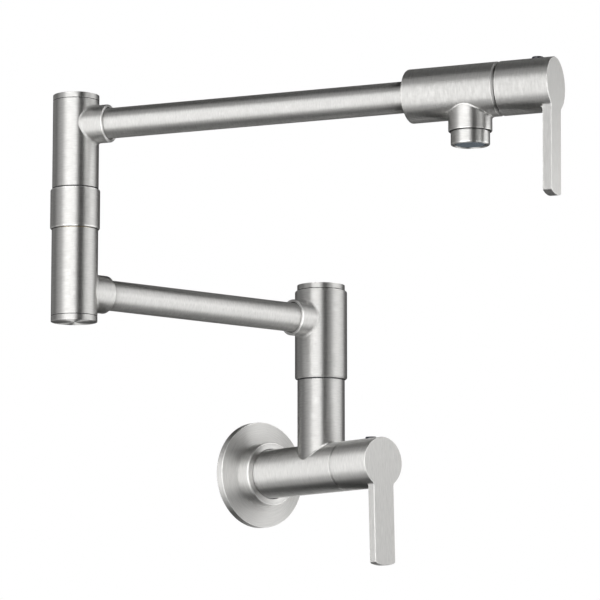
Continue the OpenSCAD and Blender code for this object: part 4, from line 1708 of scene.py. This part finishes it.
    def insert(self, spout: Matrix) -> bpy.types.Object:
        """Makes the moulded insert with its rings of water holes, and the wire mesh over them.

        Args:
            spout: Place of the spout.

        Returns:
            The insert, in place.
        """
        length = self.insert_length
        floor_out = length - self.floor_recess
        floor_in = floor_out - self.insert_floor_t
        inner = self.insert_r - self.insert_wall
        outline = [
            (inner, 0), (self.insert_r, 0), (self.insert_r, length), (inner, length),
            (inner, floor_out), (0, floor_out), (0, floor_in), (inner, floor_in),
        ]
        rim = Rim(self.insert_r, length, self.insert_edge)
        insert = turned("moulded_aerator_insert", outline, [rim])
        combined(insert, self.water_holes(floor_in), Join.CUT)
        mesh = self.wire_mesh(length - self.mesh_recess)
        only(insert)
        mesh.select_set(True)
        bpy.ops.object.join()
        top = self.aerator_top + self.aerator_height - self.insert_recess - length
        return placed(insert, spout @ up_along(top))

    def water_holes(self, floor_in: float) -> bpy.types.Object:
        """Makes the pins that cut the water holes, in rings round the middle one.

        Args:
            floor_in: Height of the floor's inner side, in millimetres.

        Returns:
            The pins, as one object.
        """
        outline = drill(self.hole_r, floor_in - OVER, self.insert_length + OVER)
        pins = []
        for ring in range(self.hole_rings + 1):
            count = max(self.holes_a_ring * ring, 1)
            for hole in range(count):
                turn = Matrix.Rotation(math.tau * hole / count, 4, "Z")
                shift = Matrix.Translation((ring * self.hole_pitch * MM, 0, 0))
                pins.append(bore(outline, turn @ shift, self.hole_steps))
        only(pins[0])
        for pin in pins[1:]:
            pin.select_set(True)
        bpy.ops.object.join()
        return pins[0]

    def wire_mesh(self, height: float) -> bpy.types.Object:
        """Weaves the fine wire mesh that lies over the water holes.

        Args:
            height: Height of its lower side, in millimetres.

        Returns:
            The wire mesh.
        """
        edge_r = self.insert_r - self.insert_wall
        bpy.ops.object.select_all(action="DESELECT")
        bpy.ops.mesh.primitive_grid_add(
            x_subdivisions=self.wires, y_subdivisions=self.wires, size=2 * edge_r * MM,
            location=(0, 0, (height + self.wire_t / 2) * MM),
        )
        mesh = bpy.context.object
        placed(mesh, mesh.matrix_world)
        beyond = [
            face.index for face in mesh.data.polygons
            if math.hypot(face.center.x, face.center.y) > edge_r * MM
        ]
        edit(mesh, Pick.FACES, beyond)
        bpy.ops.mesh.delete(type="FACE")
        leave_edit()
        modified(mesh, "WIREFRAME", thickness=self.wire_t * MM, use_even_offset=False)
        return mesh


@dataclass
class Handle:
    """One lever handle with its plug, modelled once and copied for the other valve."""

    layout: Layout
    dresser: Dresser
    inlet_end: float
    outlet_end: float
    seam_gap: float = 0.8
    length: float = 35.8
    foot: float = 69.6
    width: float = 18.0
    thickness: float = 6.0
    foot_r: float = 25.5
    neck_r: float = 3.0
    corner_r: float = 1.2
    front_bevel: float = 0.5
    back_bevel: float = 0.5
    back_hollow_r: float = 2.5
    back_hollow_sink: float = 0.1
    back_hollow_inset: float = 1.1
    cavity_r: float = 14.8
    cavity_depth: float = 9.6
    spline_r: float = 4.14
    spline_front: float = 8.0
    screw_r: float = 2.55
    plug_r: float = 3.65
    plug_back: float = 12.0
    plug_depth: float = 3.0
    plug_proud: float = 1.0
    plug_dome: float = 0.15
    plug_edge: float = 0.3
    plug_steps: int = 64
    neck_steps: int = 8
    foot_steps: int = 14
    # Steps of the hub's free round for each step of the arc that the bar is drawn from
    hub_to_arc_steps: int = 4
    # How the faces and edges of hub and bar are told apart
    hub_middle_r: float = 1.0
    hub_margin: float = 0.05
    bar_margin: float = 0.1
    bar_facing: float = 0.3
    bar_side_share: float = 0.99
    # Degrees that each lever hangs turned from straight down, and how much painted shade darkens its bar and front
    rest_turn: float = 1.5
    face_painted_shade: float = 0.2

    def build(self) -> None:
        """Builds the lever and its plug, and copies both for the other valve."""
        turn = Matrix.Rotation(math.radians(self.rest_turn), 4, "Z")
        inlet = self.layout.inlet @ up_along(self.inlet_end) @ turn
        outlet = self.layout.upper_arm @ up_along(self.outlet_end) @ turn.inverted()
        lever = self.lever()
        plug = self.plug()
        for valve, place in (("inlet", inlet), ("outlet", outlet)):
            self.dresser.dress(
                placed(copied(lever, f"brushed_{valve}_lever"), place), f"{valve}_lever",
                Slot.NICKEL, self.stretches(place),
            )
            self.dresser.dress(
                placed(copied(plug, f"moulded_{valve}_plug"), place), f"{valve}_plug_button",
                Slot.PLUG,
            )
        bpy.data.objects.remove(lever)
        bpy.data.objects.remove(plug)

    def stretches(self, place: Matrix) -> list[Stretch]:
        """Gives the lever's stretches: straight along bar and front, round the hub.

        Args:
            place: Place of the lever.

        Returns:
            The stretches, the hub's seam first with its painted shade, then bar and front with a lighter painted
            shade.
        """
        least_z = self.length - self.thickness - self.bar_margin
        least_r = STOCK.body_r + self.bar_margin

        def on_bar(spot: Vector, normal: Vector) -> bool:
            """Says whether a face belongs to the bar or the front."""
            beyond = math.hypot(spot.x, spot.y) > least_r
            return spot.z > least_z and (beyond or abs(normal.z) > self.bar_facing)

        return [
            end_face(place, self.seam_gap),
            Stretch(place, Hairs.STRAIGHT, on_bar, self.face_painted_shade), Stretch(place),
        ]

    def bar_outline(self) -> list[Point]:
        """Works out the bar's outline below the hub.

        Returns:
            Its points, from the right neck round the foot to the left neck.
        """
        half = self.width / 2
        neck_x = half + self.neck_r
        neck_y = -math.sqrt((STOCK.body_r + self.neck_r) ** 2 - neck_x ** 2)
        lean = math.atan2(neck_x, -neck_y)
        right = []
        for step in range(self.neck_steps + 1):
            angle = math.pi / 2 + lean + (math.pi / 2 - lean) * step / self.neck_steps
            right.append((
                neck_x + self.neck_r * math.cos(angle),
                neck_y + self.neck_r * math.sin(angle),
            ))
        spread = math.asin(half / self.foot_r)
        foot = []
        for step in range(self.foot_steps + 1):
            angle = spread - 2 * spread * step / self.foot_steps
            foot.append((
                self.foot_r * math.sin(angle),
                self.foot_r - self.foot - self.foot_r * math.cos(angle),
            ))
        left = [(-x, y) for x, y in reversed(right)]
        return right + foot + left

    def lever(self) -> bpy.types.Object:
        """Models the lever: a plate with hub and bar, its hub drawn back, rounded and bored.

        Returns:
            The lever, with the end of its valve at the origin.
        """
        front = self.length
        back = self.length - self.thickness
        plate = self.plate(self.bar_outline())
        self.extrude(plate, range(len(plate.data.polygons)), -self.thickness)
        cleaned(plate)
        hub = [
            face.index for face in plate.data.polygons
            if near(face.center.z, back)
            and math.hypot(face.center.x, face.center.y) < self.hub_middle_r * MM
        ]
        self.extrude(plate, hub, self.seam_gap - back)
        for level in (front, back):
            flat = [
                face.index for face in plate.data.polygons
                if near(face.center.z, level) and abs(face.normal.z) > FACING
            ]
            edit(plate, Pick.FACES, flat)
            bpy.ops.mesh.dissolve_faces()
            leave_edit()
        cleaned(plate)
        combined(plate, self.back_hollow(), Join.ADD)
        self.round_edges(plate, front, back)
        cavity = [
            (0, -OVER), (self.cavity_r, -OVER), (self.cavity_r, self.cavity_depth),
            (self.spline_r, self.cavity_depth), (self.spline_r, front - self.spline_front),
            (0, front - self.spline_front),
        ]
        bores = bore(cavity, Matrix())
        combined(bores, bore(self.screw_outline(), self.plug_place()), Join.ADD)
        combined(plate, bores, Join.CUT)
        return plate

    def plate(self, outline: Sequence[Point]) -> bpy.types.Object:
        """Lays out the flat front: a round face, and the bar drawn from its lower arc.

        Args:
            outline: The bar's outline from its right neck to its left.

        Returns:
            The flat plate.
        """
        start = math.atan2(outline[0][1], outline[0][0])
        stop = math.atan2(outline[-1][1], outline[-1][0])
        lower = len(outline) - 1
        upper = self.hub_to_arc_steps * lower
        bpy.ops.object.select_all(action="DESELECT")
        bpy.ops.mesh.primitive_circle_add(vertices=lower + upper, fill_type="NGON")
        plate = bpy.context.object
        plate.name = "lever_plate"
        for index, vertex in enumerate(plate.data.vertices):
            if index <= lower:
                angle = start + (stop - start) * index / lower
            else:
                angle = stop - (math.tau + stop - start) * (index - lower) / upper
            vertex.co = Vector((math.cos(angle), math.sin(angle), 0)) * STOCK.body_r * MM
            vertex.co.z = self.length * MM
        arc = [edge.index for edge in plate.data.edges if max(edge.vertices) <= lower]
        edit(plate, Pick.EDGES, arc)
        bpy.ops.mesh.extrude_edges_move(TRANSFORM_OT_translate={"value": (0, 0, 0)})
        leave_edit()
        drawn = [vertex for vertex in plate.data.vertices if vertex.select]
        drawn.sort(key=lambda vertex: -math.atan2(vertex.co.y, vertex.co.x))
        for vertex, (x, y) in zip(drawn, outline):
            vertex.co.x = x * MM
            vertex.co.y = y * MM
        cleaned(plate)
        return plate

    def back_hollow(self) -> bpy.types.Object:
        """Makes the hollow between the hub and the bar's back, ready to be joined to them.

        Returns:
            The solid.
        """
        sink = self.back_hollow_sink
        size = self.back_hollow_r
        back = self.length - self.thickness
        middle = (STOCK.body_r + size - sink, back - size + sink)
        inner = STOCK.body_r - OVER
        outline = [(inner, middle[1])]
        for step in range(HOLLOW_STEPS + 1):
            angle = math.pi - math.pi / 2 * step / HOLLOW_STEPS
            outline.append((middle[0] + size * math.cos(angle), middle[1] + size * math.sin(angle)))
        outline += [(middle[0], back + OVER), (inner, back + OVER)]
        hollow = turned("back_hollow", outline)
        side = (self.width / 2 - self.back_hollow_inset) * MM
        sliced(hollow, Vector((side, 0, 0)), Vector((1, 0, 0)))
        sliced(hollow, Vector((-side, 0, 0)), Vector((-1, 0, 0)))
        sliced(hollow, Vector(), Vector((0, 1, 0)))
        return hollow

    @staticmethod
    def extrude(plate: bpy.types.Object, faces: Sequence[int], depth: float) -> None:
        """Extrudes faces of the plate square to it.

        Args:
            plate: The plate.
            faces: Indices of the faces.
            depth: How far, in millimetres.
        """
        edit(plate, Pick.FACES, faces)
        bpy.ops.mesh.extrude_region_move(TRANSFORM_OT_translate={"value": (0, 0, depth * MM)})
        leave_edit()

    def round_edges(self, plate: bpy.types.Object, front: float, back: float) -> None:
        """Rounds the foot's corners, then the front, the hub's back rim and the bar's back.

        Args:
            plate: The lever.
            front: Height of its front, in millimetres.
            back: Height of the bar's back, in millimetres.
        """
        half = self.width / 2
        lower_half = -self.foot / 2 * MM
        beyond_hub = (STOCK.body_r + self.hub_margin) * MM
        below_hollow = -(STOCK.body_r + 2 * self.back_hollow_r) * MM
        corners = self.edges_where(
            plate, lambda spot, run: near(abs(spot.x), half) and spot.y < lower_half
            and abs(run.z) > abs(run.y)
        )
        bevel_edges(plate, corners, self.corner_r, Cuts.BROAD)
        rim = self.edges_where(plate, lambda spot, run: near(spot.z, front))
        bevel_edges(plate, rim, self.front_bevel, Cuts.BROAD)
        seam = self.edges_where(plate, lambda spot, run: near(spot.z, self.seam_gap))
        bevel_edges(plate, seam, STOCK.edge_bevel, Cuts.FINE)
        behind = self.edges_where(
            plate, lambda spot, run: near(spot.z, back)
            and math.hypot(spot.x, spot.y) > beyond_hub
            and (abs(spot.x) > self.bar_side_share * half * MM or spot.y < below_hollow)
        )
        bevel_edges(plate, behind, self.back_bevel, Cuts.MEDIUM)

    @staticmethod
    def edges_where(
        plate: bpy.types.Object, test: Callable[[Vector, Vector], bool]
    ) -> list[int]:
        """Finds sharp edges by their middle and run.

        Args:
            plate: The piece.
            test: Says of an edge's middle and direction whether it is meant.

        Returns:
            The indices of the sharp edges that pass.
        """
        mesh = plate.data
        found = []
        for index, normals in edge_normals(mesh).items():
            if len(normals) != 2 or normals[0].angle(normals[1], 0) < SHARP_ANGLE:
                continue
            ends = [mesh.vertices[end].co for end in mesh.edges[index].vertices]
            if test((ends[0] + ends[1]) / 2, ends[1] - ends[0]):
                found.append(index)
        return found

    def plug_place(self) -> Matrix:
        """Gives the plug's place, z up out of the hub."""
        return axes(Vector((0, 0, (self.length - self.plug_back) * MM)), Vector((0, 1, 0)), -UP)

    def screw_outline(self) -> list[Point]:
        """Gives the outline of the set screw's hole with its wider plug seat.

        Returns:
            The outline.
        """
        seat = STOCK.body_r - self.plug_depth
        plug = self.plug_r + STOCK.join_gap
        top = STOCK.body_r + OVER
        return [(0, 0), (self.screw_r, 0), (self.screw_r, seat), (plug, seat), (plug, top), (0, top)]

    def plug(self) -> bpy.types.Object:
        """Turns the plug with its softly domed head.

        Returns:
            The plug, in its lever's hub.
        """
        foot = STOCK.body_r - self.plug_depth
        shoulder = STOCK.body_r + self.plug_proud - self.plug_dome
        crown = STOCK.body_r + self.plug_proud
        outline = [(0, foot), (self.plug_r, foot), (self.plug_r, shoulder), (0, crown)]
        rims = [
            Rim(self.plug_r, shoulder, self.plug_dome, Cuts.FINE),
            Rim(self.plug_r, foot, self.plug_edge, Cuts.FINE),
        ]
        return placed(turned("plug", outline, rims, self.plug_steps), self.plug_place())


def copied(piece: bpy.types.Object, name: str) -> bpy.types.Object:
    """Copies a piece with its own mesh.

    Args:
        piece: The piece.
        name: Name of the copy.

    Returns:
        The copy.
    """
    twin = piece.copy()
    twin.data = piece.data.copy()
    twin.name = name
    bpy.context.collection.objects.link(twin)
    return twin


@dataclass(frozen=True)
class SoftPanel:
    """A light panel with soft edges that faces the tap, in degrees and metres.

    turn goes from the camera's side round to its right, rise goes up, and softness says over how
    wide a strip the light fades at an edge.
    """

    turn: float
    rise: float
    distance: float
    half_width: float
    half_height: float
    softness: float
    radiance: float


@dataclass
class Studio:
    """Soft light panels, a plain pale floor and the photograph's camera.

    The angles are degrees. low, level and high are the weak light from below, from the side and
    from above, and middle is the point that the panels face.
    """

    picture_px: float = 600.0
    focal_px: float = 3244.04
    sensor_mm: float = 36.0
    azimuth: float = -40.6007
    pitch: float = 8.3029
    camera_spot: tuple[float, float, float] = (-1.4628491, -1.7532651, -0.2079904)
    floor_z: float = -1.3
    floor_size: float = 60.0
    floor_grey: float = 0.86
    floor_glow: float = 0.8
    floor_roughness: float = 0.9
    floor_mottle: float = 0.03
    floor_mottle_scale: float = 3.0
    middle: tuple[float, float, float] = (-0.1, -0.12, 0.1)
    fade_share: float = 0.85
    white: float = 1.0
    low: float = 0.06
    level: float = 0.12
    high: float = 0.03

    PANELS = (
        SoftPanel(
            turn=-28, rise=-2.4, distance=0.75, half_width=0.42, half_height=0.63, softness=0.27,
            radiance=2.15,
        ),
        SoftPanel(
            turn=88, rise=3, distance=1.6, half_width=1, half_height=1.9, softness=0.48,
            radiance=1.35,
        ),
        SoftPanel(
            turn=-47, rise=0.4, distance=0.95, half_width=1.1, half_height=2.25, softness=0.8,
            radiance=0.75,
        ),
        SoftPanel(
            turn=48, rise=-13, distance=0.67, half_width=0.15, half_height=0.3, softness=0.03,
            radiance=1.05,
        ),
        SoftPanel(
            turn=78, rise=9.5, distance=0.59, half_width=0.22, half_height=0.1, softness=0.14,
            radiance=1.35,
        ),
        SoftPanel(
            turn=0, rise=0, distance=0.9, half_width=0.12, half_height=0.9, softness=0.2,
            radiance=0.83,
        ),
        SoftPanel(
            turn=-125, rise=0, distance=1, half_width=0.3, half_height=1, softness=0.3,
            radiance=0.25,
        ),
        SoftPanel(
            turn=130, rise=0, distance=1, half_width=0.3, half_height=1, softness=0.3,
            radiance=0.15,
        ),
    )

    def build(self) -> None:
        """Builds the studio."""
        self.surround()
        for number, lamp in enumerate(self.PANELS, 1):
            self.panel(f"soft_panel_{number}", lamp)
        self.floor()
        self.camera()
        bpy.context.scene.view_settings.view_transform = "Standard"

    def surround(self) -> None:
        """Lights the scene weakly from all round, white where the camera looks past it."""
        world = bpy.data.worlds.new("StudioRoom")
        world.use_nodes = True
        bpy.context.scene.world = world
        sheet = Sheet(world.node_tree)
        way = sheet.add("ShaderNodeTexCoord").outputs["Generated"]
        parts = sheet.add("ShaderNodeSeparateXYZ")
        sheet.join(way, parts.inputs[0])
        ramp = sheet.add("ShaderNodeValToRGB")
        horizon = 0.5
        rise = sheet.maths("MULTIPLY_ADD", parts.outputs["Z"], horizon, horizon)
        sheet.join(rise, ramp.inputs[0])
        ramp.color_ramp.elements.new(horizon)
        for element, position, grey in zip(
            ramp.color_ramp.elements, (0, horizon, 1), (self.low, self.level, self.high)
        ):
            element.position = position
            element.color = (grey, grey, grey, 1)
        light = sheet.add("ShaderNodeBackground")
        sheet.join(ramp.outputs["Color"], light.inputs["Color"])
        white = sheet.add("ShaderNodeBackground")
        white.inputs["Color"].default_value = (self.white, self.white, self.white, 1)
        mix = sheet.add("ShaderNodeMixShader")
        sheet.join(sheet.add("ShaderNodeLightPath").outputs["Is Camera Ray"], mix.inputs[0])
        sheet.join(light.outputs[0], mix.inputs[1])
        sheet.join(white.outputs[0], mix.inputs[2])
        output = sheet.add("ShaderNodeOutputWorld")
        sheet.join(mix.outputs[0], output.inputs["Surface"])

    def heading(self, turn: float, rise: float) -> Vector:
        """Works out a direction from the tap.

        Args:
            turn: Degrees to the right of the camera's side.
            rise: Degrees upwards.

        Returns:
            The direction.
        """
        level = math.radians(self.azimuth + turn)
        up = math.radians(rise)
        return Vector((math.sin(level) * math.cos(up), -math.cos(level) * math.cos(up), math.sin(up)))

    def panel(self, name: str, lamp: SoftPanel) -> None:
        """Hangs a soft-edged light panel that faces the tap.

        Args:
            name: Name of the panel.
            lamp: Its place, size and light.
        """
        fade = self.fade_share * lamp.softness
        sides = [2 * (half + fade) for half in (lamp.half_width, lamp.half_height)]
        spot = Vector(self.middle) + self.heading(lamp.turn, lamp.rise) * lamp.distance
        turn = (math.radians(90 - lamp.rise), 0, math.radians(self.azimuth + lamp.turn))
        bpy.ops.object.select_all(action="DESELECT")
        bpy.ops.mesh.primitive_plane_add(size=1, location=spot, rotation=turn)
        panel = bpy.context.object
        panel.name = name
        panel.scale = (*sides, 1)
        material = bpy.data.materials.new(name)
        material.use_nodes = True
        sheet = Sheet(material.node_tree)
        parts = sheet.add("ShaderNodeSeparateXYZ")
        sheet.join(sheet.add("ShaderNodeTexCoord").outputs["Object"], parts.inputs[0])
        masks = []
        for axis, side, half in zip("XY", sides, (lamp.half_width, lamp.half_height)):
            across = sheet.maths("MULTIPLY", parts.outputs[axis], side)
            mask = sheet.add("ShaderNodeMapRange", interpolation_type="SMOOTHSTEP")
            sheet.join(sheet.maths("ABSOLUTE", across), mask.inputs["Value"])
            mask.inputs["From Min"].default_value = half - fade
            mask.inputs["From Max"].default_value = half + fade
            mask.inputs["To Min"].default_value = 1.0
            mask.inputs["To Max"].default_value = 0.0
            masks.append(mask.outputs[0])
        mask = sheet.maths("MULTIPLY", *masks)
        glow = sheet.add("ShaderNodeEmission")
        sheet.join(sheet.maths("MULTIPLY", mask, lamp.radiance), glow.inputs["Strength"])
        both = sheet.add("ShaderNodeAddShader")
        sheet.join(glow.outputs[0], both.inputs[0])
        sheet.join(sheet.add("ShaderNodeBsdfTransparent").outputs[0], both.inputs[1])
        output = sheet.add("ShaderNodeOutputMaterial")
        sheet.join(both.outputs[0], output.inputs["Surface"])
        panel.data.materials.append(material)
        panel.visible_camera = False

    def floor(self) -> None:
        """Lays the floor, which keeps out of the metal's reflections."""
        bpy.ops.object.select_all(action="DESELECT")
        bpy.ops.mesh.primitive_plane_add(size=self.floor_size, location=(0, 0, self.floor_z))
        floor = bpy.context.object
        floor.name = "floor"
        material = bpy.data.materials.new("PaleFloor")
        material.use_nodes = True
        sheet = Sheet(material.node_tree)
        shader = sheet.add("ShaderNodeBsdfPrincipled")
        output = sheet.add("ShaderNodeOutputMaterial")
        sheet.join(shader.outputs[0], output.inputs["Surface"])
        spot = sheet.add("ShaderNodeTexCoord").outputs["Object"]
        share = sheet.centred(sheet.noise(spot, self.floor_mottle_scale), self.floor_mottle)
        sheet.join(sheet.tinted((self.floor_grey,) * 3, share), shader.inputs["Base Color"])
        shader.inputs["Roughness"].default_value = self.floor_roughness
        shader.inputs["Emission Color"].default_value = (*(self.floor_glow,) * 3, 1)
        shader.inputs["Emission Strength"].default_value = 1.0
        floor.data.materials.append(material)
        floor.visible_glossy = False
        floor.visible_diffuse = False
        floor.visible_shadow = False

    def camera(self) -> None:
        """Sets the camera where the photograph was taken from."""
        turn = (math.radians(90 + self.pitch), 0, math.radians(self.azimuth))
        bpy.ops.object.camera_add(location=self.camera_spot, rotation=turn)
        camera = bpy.context.object
        camera.name = "photo_camera"
        camera.data.sensor_fit = "HORIZONTAL"
        camera.data.sensor_width = self.sensor_mm
        camera.data.lens = self.focal_px * self.sensor_mm / self.picture_px
        bpy.context.scene.camera = camera


def main() -> None:
    """Builds the pot filler's looks in order."""
    logging.basicConfig(level=logging.INFO, format="%(name)s: %(message)s")
    layout = Layout(frame["joints"])
    dresser = Dresser()
    wall_unit = WallUnit(layout, dresser)
    wall_unit.build()
    LowerArm(layout, dresser).build()
    upper_arm = UpperArm(layout, dresser)
    upper_arm.build()
    outlet_end = upper_arm.reach + upper_arm.outlet_front
    Handle(layout, dresser, wall_unit.inlet_length, outlet_end).build()
    dresser.dress_solids()
    Studio().build()


if __name__ == "__main__":
    main()
